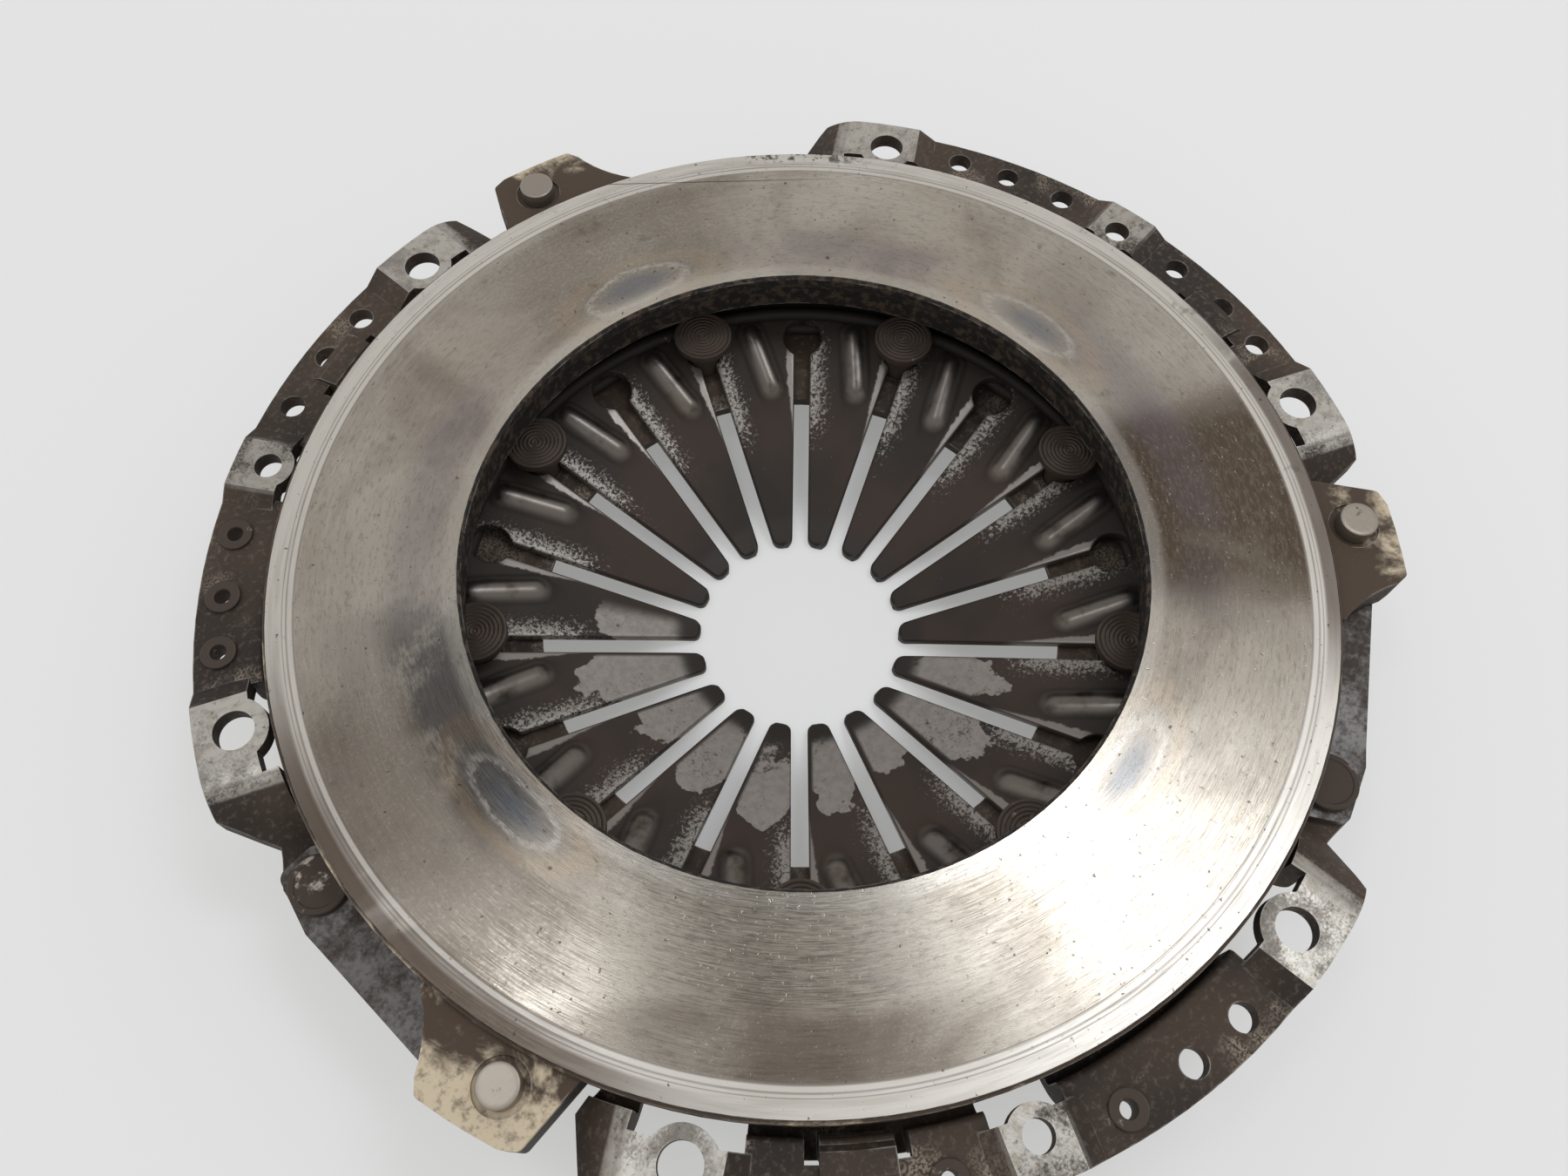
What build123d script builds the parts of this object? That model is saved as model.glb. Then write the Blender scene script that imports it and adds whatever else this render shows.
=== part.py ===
from build123d import *
from math import atan2, cos, degrees, hypot, radians, sin, sqrt, tan
import os

# Clutch pressure plate: stamped cover, cast pressure plate, diaphragm spring,
# fulcrum wires, spacer rivets, drive straps and their rivets.
# Millimetres. Origin on the axis in the plane of the bolt pads, +Z towards the
# flywheel, +X through the first dowel hole. Everything repeats every 120 degrees.

os.makedirs("parts", exist_ok=True)

# ---------------------------------------------------------------- dimensions
REPEAT = 3
SECTOR = 360 / REPEAT
BOLT_ANGLE = 30.0            # bolts stand this far either side of each dowel
GAP_ANGLE = SECTOR / 2       # middle of the opening that holds a drive strap
TOP = 12.0                   # cutters end above everything

# cover sheet
SHEET = 4.0
FLANGE_R = 139.0
FLANGE_W = 15.8              # from the edge in to the wall
FLANGE_Z = -3.0
PAD_Z = 0.0
DOWEL_PAD_Z = -0.9
WALL_IN_R = FLANGE_R - FLANGE_W
WALL_OUT_R = WALL_IN_R + SHEET
LEDGE_Z = -12.2
LEDGE_W = 6.4
LEDGE_IN_R = WALL_IN_R - LEDGE_W
CROWN_Z = -27.7
CROWN_SLOPE_W = 8.8          # the slope from the ledge down to the crown
CROWN_OUT_R = LEDGE_IN_R - CROWN_SLOPE_W
BEND_R = 1.5
REACH = FLANGE_R + 21        # cutters end outside everything

# diaphragm spring
SPRING_T = 2.6
FINGERS = 18
FINGER_STEP = 360 / FINGERS
SPRING_GAP = 1.5             # round the spring, inside the cover
SPRING_R = CROWN_OUT_R - SPRING_GAP
SPRING_RIM_W = 27.5
SPRING_RIM_SLOPE = 13.0      # degrees
KNEE_R = SPRING_R - SPRING_RIM_W
KNEE_Z = -22.3
TIP_BEND_Z = -40.1
TIP_R = 26.0
TIP_FLAT = 6.0
TIP_BEND_R = TIP_R + TIP_FLAT
TIP_Z = -42.7
SPRING_BEND_R = 12.0
SLOT_W = 4.2
KEYHOLE_R = 5.2
KEYHOLE_AT_R = KNEE_R + 1.0
TIP_CORNER = 2.0
BEAD_IN_R = KNEE_R - 12.8
BEAD_OUT_R = KNEE_R + 3.0
BEAD_W = 4.9
BEAD_H = 1.2
BEAD_TAPER = 38
BEAD_IN_ANGLE = 7.3          # degrees from the slot
BEAD_OUT_ANGLE = 10.1

# fulcrum wires and the rivets that hold them
WIRE_R = 1.7
WIRE_RING_R = KNEE_R + 6.3
SPACER_AT_R = KNEE_R
SPACERS = 9
SPACER_SHANK_R = 4.2
SPACER_HEAD_R = 7.7
SPACER_HEAD_T = 2.5
SPACER_TAIL_R = 5.2
SPACER_TAIL_T = 2.4

# inner lip of the cover, from the spacer rivets inwards
CROWN_IN_R = SPACER_AT_R - 6.6
LIP_KNEE_R = CROWN_IN_R - 3.2
LIP_KNEE_Z = CROWN_Z - 2.2
LIP_R = LIP_KNEE_R - 4.1
LIP_Z = LIP_KNEE_Z - 0.9

# pressure plate
FACE_Z = 4.5                 # friction face above the bolt pads, plate released
RING_GAP = 1.7               # round the plate, inside the cover's wall
RING_R = WALL_IN_R - RING_GAP
RING_LIP = 8.0               # the ring stands out over the body
BORE_R = KNEE_R - 1.0
RIM_UNDER_Z = -2.0
RIM_DRAFT = 0.6
BODY_R = RING_R - RING_LIP
BODY_DRAFT = 0.8
BODY_UNDER_Z = -9.0
INNER_UNDER_Z = -7.0
INNER_STEP_R = BORE_R + 12
RIDGE_W = 7.0
RIDGE_OUT_R = SPRING_R + 1.0
RIDGE_IN_R = RIDGE_OUT_R - RIDGE_W
RIDGE_FLAT = 3.0
RIDGE_TAPER = 1.0
RIDGE_ROOT = 0.8
RIDGE_CROWN = 0.7
STEP_DRAFT = 2.0
RIDGE_NOTCHES = FINGERS
RIDGE_NOTCH_W = 9.0
RIDGE_NOTCH_D = 3.2
FACE_EDGE = 0.8
BORE_GROOVE_R = BORE_R + 1.2
BORE_GROOVE_Z = (1.8, -0.8)
PLATE_TRAVEL = 7.0

# holes in the flange, measured in from its edge
BOLT_R = FLANGE_R - 8.6
BOLT_HOLE_R = 4.5
DOWEL_R = FLANGE_R - 8.5
DOWEL_HOLE_R = 3.25
BALANCE_EDGE = 5.7
BALANCE_R = FLANGE_R - BALANCE_EDGE
BALANCE_HOLE_R = 3.0
BALANCE_ANGLES = (8, 15, 21)
BOLT_TONGUE_R = 7.5
DOWEL_TONGUE_R = 6.2
WINDOW_IN_R = WALL_IN_R - 3.8
BOLT_WINDOW_HALF = 5.1       # degrees
DOWEL_WINDOW_HALF = 3.6

# raised pads, measured along the tangent through the hole
BOLT_PAD_HALF = 8.2
BOLT_RAMP = 4.8
DOWEL_PAD_HALF = 6.6
DOWEL_RAMP = 4.2
WING_BEND_R = 16.0
WING_FOOT_R = 5.0
WING_SLOPE = 50.0            # degrees
WING_TIP_ANGLE = 37.4        # degrees from the dowel
SHELF_END_X = -19.0          # the ledge behind the cover rivet of a strap
SHELF_EDGE = (-22.0, FLANGE_R - 7.8)         # edge of the wing, from the shelf out to its tip
WING_SHOULDER = (-35.6, FLANGE_R - 10.0)
WING_NOTCH = (-42.6, WALL_IN_R + 0.2)
SHELF_IN = (-34.0, LEDGE_IN_R - 4.3)
SHELF_IN_Y = LEDGE_IN_R + 1.2
GAP_END_X = 43.0             # far side of the strap opening
GAP_IN_Y = LEDGE_IN_R - 10.8
GAP_FLOOR_Z = -17.5
SEAM_ANGLE = -50.0           # a third of the cover starts here, in the middle of an opening

# lanced tab in the bend of the cover
TAB_ANGLE = -15.2            # degrees from the dowel
TAB_HALF = 3.3
TAB_SLIT = 1.3
TAB_RISE = 1.4
TAB_OUT_R = FLANGE_R - 7.5

# lugs and drive straps, in the frame of a strap opening (x tangent, y radial)
LUG_TOP_Z = 2.5
LUG_UNDER_Z = -7.0
LUG_OUT_R = FLANGE_R - 0.9
LUG_SIDE_X = 41.2
LUG_SIDE_DROP = 2.2
LUG_CORNER = 1.6
LUG_FLAT_X = (19.5, 38.0)    # ends of the outer edge
LUG_FLANK = ((17.0, LUG_OUT_R - 3.8), (13.6, LUG_OUT_R - 8.7), (5.5, RING_R + 1.1))
LUG_ROOT_Y = BODY_R - 5.5
LUG_RIVET = (30.6, LUG_OUT_R - 13.2)
COVER_RIVET = (-29.3, LUG_RIVET[1] - 1.9)
LEAVES = 3
LEAF_T = 0.75
LEAF_PITCH = 0.80
LEAF_W = 17.0
LEAF_END = 8.3
LEAF_CUT_X = 14.0
LEAF_CUT_Y = 3.6
LEAF_CORNER = 2.5
LEAF_BEND_X = 19.0
LEAF_BEND_R = 30.0
STRAP_SHANK_R = 3.5
LUG_HEAD_R = 4.35
LUG_HEAD_TOP_Z = 5.8
LUG_SINK_R = 5.7
LUG_SINK = 0.8
STRAP_HEAD_R = 6.5
STRAP_HEAD_T = 1.9
STRAP_TAIL_R = 5.4
STRAP_TAIL_T = 2.2
STRAP_POCKET_R = 8.6         # relief in the rim over the cover rivet
RIVET_EDGE = 0.6

# gaps
HOLE_GAP = 0.3
SEAT_GAP = 0.05

# hollow balance rivets: number of the dowel, degrees from it
BALANCE_RIVETS = ((1, 8), (1, 15), (1, 21), (2, 8), (2, -8))
EYELET_R = 4.0
EYELET_LIP = 0.8
EYELET_EDGE = 0.3
EYELET_TUBE_R = BALANCE_HOLE_R - SEAT_GAP
EYELET_BORE_R = 1.8

# worked from the dimensions above
SPRING_RISE = tan(radians(SPRING_RIM_SLOPE))
RIDGE_R = RIDGE_OUT_R - RIDGE_W / 2
RIDGE_Z = KNEE_Z + (RIDGE_R - KNEE_R) * SPRING_RISE + 2 * SEAT_GAP
WIRE_SKEW = 1 / cos(radians(SPRING_RIM_SLOPE))
SPRING_AT_WIRE_Z = KNEE_Z + (WIRE_RING_R - KNEE_R) * SPRING_RISE
UPPER_WIRE_Z = SPRING_AT_WIRE_Z + (WIRE_R + SEAT_GAP) * WIRE_SKEW
LOWER_WIRE_Z = SPRING_AT_WIRE_Z - (SPRING_T + WIRE_R + SEAT_GAP) * WIRE_SKEW
SPACER_SEAT_Z = UPPER_WIRE_Z + WIRE_R + SEAT_GAP
LEAF_TOP_COVER_Z = LEDGE_Z + SEAT_GAP + LEAVES * LEAF_PITCH
LEAF_TOP_LUG_Z = LUG_UNDER_Z - SEAT_GAP
POCKET_TOP_Z = LEAF_TOP_COVER_Z + SEAT_GAP + STRAP_HEAD_T + PLATE_TRAVEL + HOLE_GAP


def polar(r, angle):
    return (r * cos(radians(angle)), r * sin(radians(angle)))


def placed(point, angle):
    """World place of a point given as (tangent, radius) in a frame at an angle."""
    x, y = point
    return polar(hypot(x, y), angle + degrees(atan2(x, y)))


def band(r_in, r_out, angle_from, angle_to, z_from, z_to):
    """Block between two radii, two angles and two heights."""
    with BuildPart() as block:
        with BuildSketch(Plane.XY.offset(z_from)):
            with BuildLine():
                Line(polar(r_in, angle_from), polar(r_out, angle_from))
                CenterArc((0, 0), r_out, angle_from, angle_to - angle_from)
                Line(polar(r_out, angle_to), polar(r_in, angle_to))
                CenterArc((0, 0), r_in, angle_from, angle_to - angle_from)
            make_face()
        extrude(amount=z_to - z_from)
    return block.part


def rod(place, radius, z_from, z_to):
    with BuildPart() as pin:
        with BuildSketch(Plane.XY.offset(z_from)):
            with Locations(place):
                Circle(radius)
        extrude(amount=z_to - z_from)
    return pin.part


def prism(points, z_from, z_to, corner=0.0):
    """Upright block on a polygon, its corners rounded."""
    with BuildPart() as block:
        with BuildSketch(Plane.XY.offset(z_from)) as outline:
            with BuildLine():
                Polyline(*points, close=True)
            make_face()
            if corner:
                fillet(outline.vertices(), corner)
        extrude(amount=z_to - z_from)
    return block.part


def side_plane(angle):
    """Upright plane through the axis: x along the tangent, y up, normal outwards."""
    c, s = cos(radians(angle)), sin(radians(angle))
    return Plane(origin=(0, 0, 0), x_dir=(-s, c, 0), z_dir=(c, s, 0))


def wing_path(side):
    """Top of the sheet across a bolt pad: flange, ramp, pad, wing, shelf."""
    slope = radians(WING_SLOPE)
    crease = BOLT_PAD_HALF
    knee = (crease + WING_BEND_R * sin(slope), PAD_Z - WING_BEND_R * (1 - cos(slope)))
    foot_z = LEDGE_Z + WING_FOOT_R * (1 - cos(slope))
    foot_x = knee[0] + (knee[1] - foot_z) / tan(slope)
    shelf_x = foot_x + WING_FOOT_R * sin(slope)
    half = slope / 2
    mid_knee = (crease + WING_BEND_R * sin(half), PAD_Z - WING_BEND_R * (1 - cos(half)))
    mid_foot = (shelf_x - WING_FOOT_R * sin(half), LEDGE_Z + WING_FOOT_R * (1 - cos(half)))
    ramp_end = -BOLT_PAD_HALF - BOLT_RAMP
    points = [(ramp_end - 2, FLANGE_Z), (ramp_end, FLANGE_Z), (-BOLT_PAD_HALF, PAD_Z), (crease, PAD_Z),
              mid_knee, knee, (foot_x, foot_z), mid_foot, (shelf_x, LEDGE_Z), (REACH / 2, LEDGE_Z)]
    return [(side * x, z) for x, z in points]


def wing_lines(side):
    p = wing_path(side)
    Polyline(p[0], p[1], p[2], p[3])
    ThreePointArc(p[3], p[4], p[5])
    Line(p[5], p[6])
    ThreePointArc(p[6], p[7], p[8])
    Line(p[8], p[9])


def wing_sheet(side, angle):
    """The bent sheet of a bolt pad and its wing, as wide as the cover."""
    with BuildPart() as sheet:
        with BuildSketch(side_plane(angle).offset(LEDGE_IN_R - 10)):
            with BuildLine():
                wing_lines(side)
                offset(amount=SHEET, side=Side.RIGHT if side > 0 else Side.LEFT, closed=True)
            make_face()
        extrude(amount=FLANGE_R - LEDGE_IN_R + 20)
    return sheet.part


def above_wing(side, angle):
    """Everything over the wing and the shelf, outside the pad's crease."""
    p = wing_path(side)
    with BuildPart() as block:
        with BuildSketch(side_plane(angle).offset(LEDGE_IN_R - 10)):
            with BuildLine():
                Polyline(p[9], (p[9][0], TOP), (p[3][0], TOP), p[3])
                ThreePointArc(p[3], p[4], p[5])
                Line(p[5], p[6])
                ThreePointArc(p[6], p[7], p[8])
                Line(p[8], p[9])
            make_face()
        extrude(amount=REACH - LEDGE_IN_R)
    return block.part


def pad_outline(side):
    """Plan of one bolt pad with its tongue and wing, next to the dowel at zero degrees."""
    bolt = side * BOLT_ANGLE
    start = side * (BOLT_ANGLE - degrees(atan2(BOLT_PAD_HALF + BOLT_RAMP, BOLT_R)))
    window_end = side * (BOLT_ANGLE + BOLT_WINDOW_HALF)
    pad = band(WALL_OUT_R - 0.6, FLANGE_R, start, side * WING_TIP_ANGLE, LEDGE_Z - 2 * SHEET, TOP)
    tongue = rod(polar(BOLT_R, bolt), BOLT_TONGUE_R, LEDGE_Z - 2 * SHEET, TOP)
    outline = pad + tongue
    tip = polar(FLANGE_R, side * WING_TIP_ANGLE)
    if side > 0:
        # runs on down to the shelf under the end of the strap
        edge = (WING_NOTCH, WING_SHOULDER, SHELF_EDGE, (SHELF_END_X, SHELF_EDGE[1]),
                (SHELF_END_X, SHELF_IN_Y), SHELF_IN)
        end = [placed(p, GAP_ANGLE) for p in edge]
        inner = polar(LEDGE_IN_R, BOLT_ANGLE + BOLT_WINDOW_HALF)
    else:
        # stops at the edge of the next strap opening
        ends = (sqrt(WALL_OUT_R ** 2 - GAP_END_X ** 2), LEDGE_IN_R - 5)
        end = [placed((GAP_END_X, y), -GAP_ANGLE) for y in ends]
        inner = polar(LEDGE_IN_R, window_end)
    outer = polar(FLANGE_R, side * (WING_TIP_ANGLE - 3))
    wing = prism([outer, tip] + end + [inner, polar(WALL_OUT_R, window_end)], LEDGE_Z - 2 * SHEET, TOP)
    wing -= rod((0, 0), WALL_IN_R, LEDGE_Z, TOP + 1)
    return outline + wing


def bolt_pad(side):
    pad = wing_sheet(side, side * BOLT_ANGLE) & pad_outline(side)
    pad -= rod(polar(BOLT_R, side * BOLT_ANGLE), BOLT_HOLE_R, LEDGE_Z, TOP)
    if side > 0:
        pad -= rod(placed(COVER_RIVET, GAP_ANGLE), STRAP_SHANK_R + HOLE_GAP, LEDGE_Z - 2 * SHEET, TOP)
    return pad


def dowel_pad():
    """Low raised pad round the dowel hole."""
    run = DOWEL_PAD_HALF + DOWEL_RAMP
    with BuildPart() as sheet:
        with BuildSketch(side_plane(0).offset(WALL_IN_R - 2)):
            with BuildLine():
                Polyline((-run - 1, FLANGE_Z), (-run, FLANGE_Z), (-DOWEL_PAD_HALF, DOWEL_PAD_Z),
                         (DOWEL_PAD_HALF, DOWEL_PAD_Z), (run, FLANGE_Z), (run + 1, FLANGE_Z))
                offset(amount=SHEET, side=Side.RIGHT, closed=True)
            make_face()
        extrude(amount=FLANGE_R)
    half = degrees(atan2(run, DOWEL_R))
    plan = band(WALL_OUT_R - 0.6, FLANGE_R, -half, half, LEDGE_Z, TOP)
    plan += rod((DOWEL_R, 0), DOWEL_TONGUE_R, LEDGE_Z, TOP)
    plan -= rod((DOWEL_R, 0), DOWEL_HOLE_R, LEDGE_Z - 1, TOP + 1)
    return sheet.part & plan


def lanced_tab():
    """Tab between two slits, pushed up out of the bend from flange to wall."""
    with BuildPart() as tab:
        with BuildSketch(Plane.XZ):
            with BuildLine():
                Polyline((TAB_OUT_R + 1.5, FLANGE_Z), (TAB_OUT_R - 1, FLANGE_Z + TAB_RISE),
                         (WALL_IN_R + 2.6, FLANGE_Z + TAB_RISE), (WALL_IN_R - 0.6, FLANGE_Z - 2.4),
                         (WALL_IN_R - 0.6, LEDGE_Z + 3), (WALL_IN_R + SHEET / 2, LEDGE_Z + 1),
                         (WALL_IN_R + SHEET / 2, FLANGE_Z - SHEET / 2),
                         (TAB_OUT_R + 1.5, FLANGE_Z - SHEET / 2), close=True)
            make_face()
        revolve(axis=Axis.Z, revolution_arc=2 * TAB_HALF)
    return tab.part


def cover_cuts():
    """What is cut from the turned sheet in one third of the cover."""
    cuts = []
    for side in (1, -1):
        start = BOLT_ANGLE - degrees(atan2(BOLT_PAD_HALF + BOLT_RAMP, BOLT_R))
        ends = sorted((side * start, side * GAP_ANGLE))
        cuts.append(band(WALL_OUT_R, REACH, ends[0], ends[1], LEDGE_Z - 2 * SHEET, TOP))
        cuts.append(above_wing(side, side * BOLT_ANGLE))
        middle = side * BOLT_ANGLE
        cuts.append(band(WINDOW_IN_R, WALL_OUT_R + 0.01, middle - BOLT_WINDOW_HALF, middle + BOLT_WINDOW_HALF,
                         LEDGE_Z - 2 * SHEET, TOP))
    run = degrees(atan2(DOWEL_PAD_HALF + DOWEL_RAMP, DOWEL_R))
    cuts.append(band(WALL_OUT_R, REACH, -run, run, LEDGE_Z, TOP))
    cuts.append(band(WINDOW_IN_R, WALL_OUT_R + 0.01, -DOWEL_WINDOW_HALF, DOWEL_WINDOW_HALF,
                     LEDGE_Z - 2 * SHEET, TOP))
    for slit_side in (-1, 1):
        slit = TAB_ANGLE + slit_side * (TAB_HALF + TAB_SLIT / 2)
        cuts.append(band(WALL_IN_R - 1.5, WALL_OUT_R + 0.8, slit - TAB_SLIT / 2, slit + TAB_SLIT / 2,
                         LEDGE_Z, TOP))
    for holes_side in (-1, 1):
        for a in BALANCE_ANGLES:
            cuts.append(rod(polar(BALANCE_R, holes_side * a), BALANCE_HOLE_R, LEDGE_Z, TOP))
        gap = ((SHELF_END_X, GAP_IN_Y), (SHELF_END_X, REACH), (GAP_END_X, REACH), (GAP_END_X, GAP_IN_Y))
        cuts.append(prism([placed(p, holes_side * GAP_ANGLE) for p in gap], GAP_FLOOR_Z, TOP))
    cuts.append(rod(placed(COVER_RIVET, GAP_ANGLE), STRAP_SHANK_R + HOLE_GAP, LEDGE_Z - 3 * SHEET, TOP))
    for a in (-FINGER_STEP, FINGER_STEP, 3 * FINGER_STEP):
        cuts.append(rod(polar(SPACER_AT_R, a), SPACER_SHANK_R + HOLE_GAP, CROWN_Z - 3 * SHEET, TOP))
    return cuts


# --------------------------------------------------------------------- cover
seam_c, seam_s = polar(1, SEAM_ANGLE)
with BuildPart() as cover_third:
    with BuildSketch(Plane(origin=(0, 0, 0), x_dir=(seam_c, seam_s, 0), z_dir=(seam_s, -seam_c, 0))):
        with BuildLine() as top_line:
            Polyline((FLANGE_R, FLANGE_Z), (WALL_IN_R, FLANGE_Z), (WALL_IN_R, LEDGE_Z), (LEDGE_IN_R, LEDGE_Z),
                     (CROWN_OUT_R, CROWN_Z), (CROWN_IN_R, CROWN_Z), (LIP_KNEE_R, LIP_KNEE_Z), (LIP_R, LIP_Z))
            fillet(top_line.vertices().sort_by(Axis.X)[1:-1], BEND_R)
            offset(amount=SHEET, side=Side.LEFT, closed=True)
        make_face()
    revolve(axis=Axis.Z, revolution_arc=SECTOR)
third = cover_third.part
for cut in cover_cuts():
    third -= cut
for pad in (bolt_pad(1), bolt_pad(-1), dowel_pad(), lanced_tab().rotate(Axis.Z, TAB_ANGLE - TAB_HALF)):
    third += pad

with BuildPart() as cover:
    for k in range(REPEAT):
        add(third.rotate(Axis.Z, SECTOR * k))
cover.part.label = "cover"
export_step(cover.part, "parts/cover.step")


# ------------------------------------------------------------ pressure plate
def lug_block():
    """Lug with its rounded corners, in the first strap opening."""
    x_from, x_to = LUG_FLAT_X
    outer = [(x, sqrt(LUG_OUT_R ** 2 - x ** 2)) for x in (x_from, (x_from + x_to) / 2, x_to)]
    start, middle, end = [placed(p, GAP_ANGLE) for p in outer]
    flank = [placed(p, GAP_ANGLE) for p in LUG_FLANK]
    side = placed((LUG_SIDE_X, outer[2][1] - LUG_SIDE_DROP), GAP_ANGLE)
    roots = [placed((x, LUG_ROOT_Y), GAP_ANGLE) for x in (LUG_SIDE_X, LUG_FLANK[2][0])]
    with BuildPart() as block:
        with BuildSketch(Plane.XY.offset(LUG_UNDER_Z)) as outline:
            with BuildLine():
                ThreePointArc(start, middle, end)
                Polyline(end, side, roots[0], roots[1], flank[2])
                ThreePointArc(flank[2], flank[1], flank[0])
                Line(flank[0], start)
            make_face()
            corners = [v for v in outline.vertices()
                       if min(hypot(v.X - c[0], v.Y - c[1]) for c in (start, end, side)) < 0.01]
            fillet(corners, LUG_CORNER)
        extrude(amount=LUG_TOP_Z - LUG_UNDER_Z)
    return block.part


with BuildPart() as pressure_plate:
    with BuildSketch(Plane.XZ):
        with BuildLine():
            Polyline((BORE_R, FACE_Z), (RING_R, FACE_Z), (RING_R, RIM_UNDER_Z),
                     (BODY_R, RIM_UNDER_Z - RIM_DRAFT), (BODY_R - BODY_DRAFT, BODY_UNDER_Z),
                     (RIDGE_OUT_R + RIDGE_TAPER, BODY_UNDER_Z - RIDGE_ROOT),
                     (RIDGE_OUT_R - RIDGE_TAPER, RIDGE_Z + 2 * RIDGE_CROWN),
                     (RIDGE_R + RIDGE_FLAT / 2, RIDGE_Z + RIDGE_CROWN), (RIDGE_R, RIDGE_Z),
                     (RIDGE_R - RIDGE_FLAT / 2, RIDGE_Z + RIDGE_CROWN / 3),
                     (RIDGE_IN_R, BODY_UNDER_Z - RIDGE_ROOT), (INNER_STEP_R + STEP_DRAFT, BODY_UNDER_Z),
                     (INNER_STEP_R, INNER_UNDER_Z), (BORE_GROOVE_R, INNER_UNDER_Z),
                     (BORE_GROOVE_R, BORE_GROOVE_Z[1]), (BORE_R, BORE_GROOVE_Z[0]), close=True)
        make_face()
    revolve(axis=Axis.Z)
    face_edges = pressure_plate.edges().filter_by(GeomType.CIRCLE)
    chamfer([e for e in face_edges if abs(e.center().Z - FACE_Z) < 0.01], FACE_EDGE)
    with PolarLocations(RIDGE_R, RIDGE_NOTCHES, start_angle=FINGER_STEP / 2):
        with Locations(Pos(0, 0, RIDGE_Z)):
            Box(4 * RIDGE_NOTCH_W, RIDGE_NOTCH_W, 2 * RIDGE_NOTCH_D, mode=Mode.SUBTRACT)
    lug = lug_block()
    rivet_hole = rod(placed(LUG_RIVET, GAP_ANGLE), STRAP_SHANK_R + HOLE_GAP, LUG_UNDER_Z - 1, TOP)
    rivet_sink = rod(placed(LUG_RIVET, GAP_ANGLE), LUG_SINK_R, LUG_TOP_Z - LUG_SINK, TOP)
    pocket = rod(placed(COVER_RIVET, GAP_ANGLE), STRAP_POCKET_R, BODY_UNDER_Z, POCKET_TOP_Z)
    for k in range(REPEAT):
        add(lug.rotate(Axis.Z, SECTOR * k))
        add(rivet_hole.rotate(Axis.Z, SECTOR * k), mode=Mode.SUBTRACT)
        add(rivet_sink.rotate(Axis.Z, SECTOR * k), mode=Mode.SUBTRACT)
        add(pocket.rotate(Axis.Z, SECTOR * k), mode=Mode.SUBTRACT)
pressure_plate.part.label = "pressure_plate"
export_step(pressure_plate.part, "parts/pressure_plate.step")


# ---------------------------------------------------------- diaphragm spring
def bead():
    """Raised rib on the finger that follows the slot at zero degrees."""
    def on_finger(r, angle):
        return (*polar(r, angle), KNEE_Z + (r - KNEE_R) * (TIP_BEND_Z - KNEE_Z) / (TIP_BEND_R - KNEE_R))
    start, end = Vector(*on_finger(BEAD_IN_R, BEAD_IN_ANGLE)), Vector(*on_finger(BEAD_OUT_R, BEAD_OUT_ANGLE))
    run = end - start
    across = Vector(0, 0, 1).cross(run).normalized()
    surface = Plane(origin=(start + end) / 2, x_dir=run, z_dir=run.cross(across))
    with BuildPart() as rib:
        with BuildSketch(surface):
            SlotOverall(run.length, BEAD_W)
        extrude(amount=BEAD_H, taper=BEAD_TAPER)
        with BuildSketch(surface):
            SlotOverall(run.length, BEAD_W)
        extrude(amount=-SPRING_T / 2)
    return rib.part


with BuildPart() as diaphragm_spring:
    with BuildSketch(Plane.XZ):
        with BuildLine() as spring_line:
            Polyline((SPRING_R, KNEE_Z + (SPRING_R - KNEE_R) * SPRING_RISE), (KNEE_R, KNEE_Z),
                     (TIP_BEND_R, TIP_BEND_Z), (TIP_R, TIP_Z))
            fillet(spring_line.vertices().sort_by(Axis.X)[1:-1], SPRING_BEND_R)
            offset(amount=SPRING_T, side=Side.LEFT, closed=True)
        make_face()
    revolve(axis=Axis.Z)
    with BuildSketch(Plane.XY.offset(TIP_Z - 2 * SPRING_T)) as plan:
        Circle(SPRING_R + 1)
        with PolarLocations(0, FINGERS):
            with Locations((KEYHOLE_AT_R / 2, 0)):
                Rectangle(KEYHOLE_AT_R, SLOT_W, mode=Mode.SUBTRACT)
            with Locations((KEYHOLE_AT_R, 0)):
                Circle(KEYHOLE_R, mode=Mode.SUBTRACT)
        Circle(TIP_R, mode=Mode.SUBTRACT)
        fillet([v for v in plan.vertices() if hypot(v.X, v.Y) < TIP_R + 1], TIP_CORNER)
    extrude(amount=TOP - TIP_Z, mode=Mode.INTERSECT)
    rib = bead()
    for k in range(FINGERS):
        add(rib.rotate(Axis.Z, FINGER_STEP * k))
diaphragm_spring.part.label = "diaphragm_spring"
export_step(diaphragm_spring.part, "parts/diaphragm_spring.step")


# ------------------------------------------------ fulcrum wires and spacers
with BuildPart() as fulcrum_wire_upper:
    with Locations(Pos(0, 0, UPPER_WIRE_Z)):
        Torus(WIRE_RING_R, WIRE_R)
fulcrum_wire_upper.part.label = "fulcrum_wire_upper"
export_step(fulcrum_wire_upper.part, "parts/fulcrum_wire_upper.step")

with BuildPart() as fulcrum_wire_lower:
    with Locations(Pos(0, 0, LOWER_WIRE_Z)):
        Torus(WIRE_RING_R, WIRE_R)
fulcrum_wire_lower.part.label = "fulcrum_wire_lower"
export_step(fulcrum_wire_lower.part, "parts/fulcrum_wire_lower.step")


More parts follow.
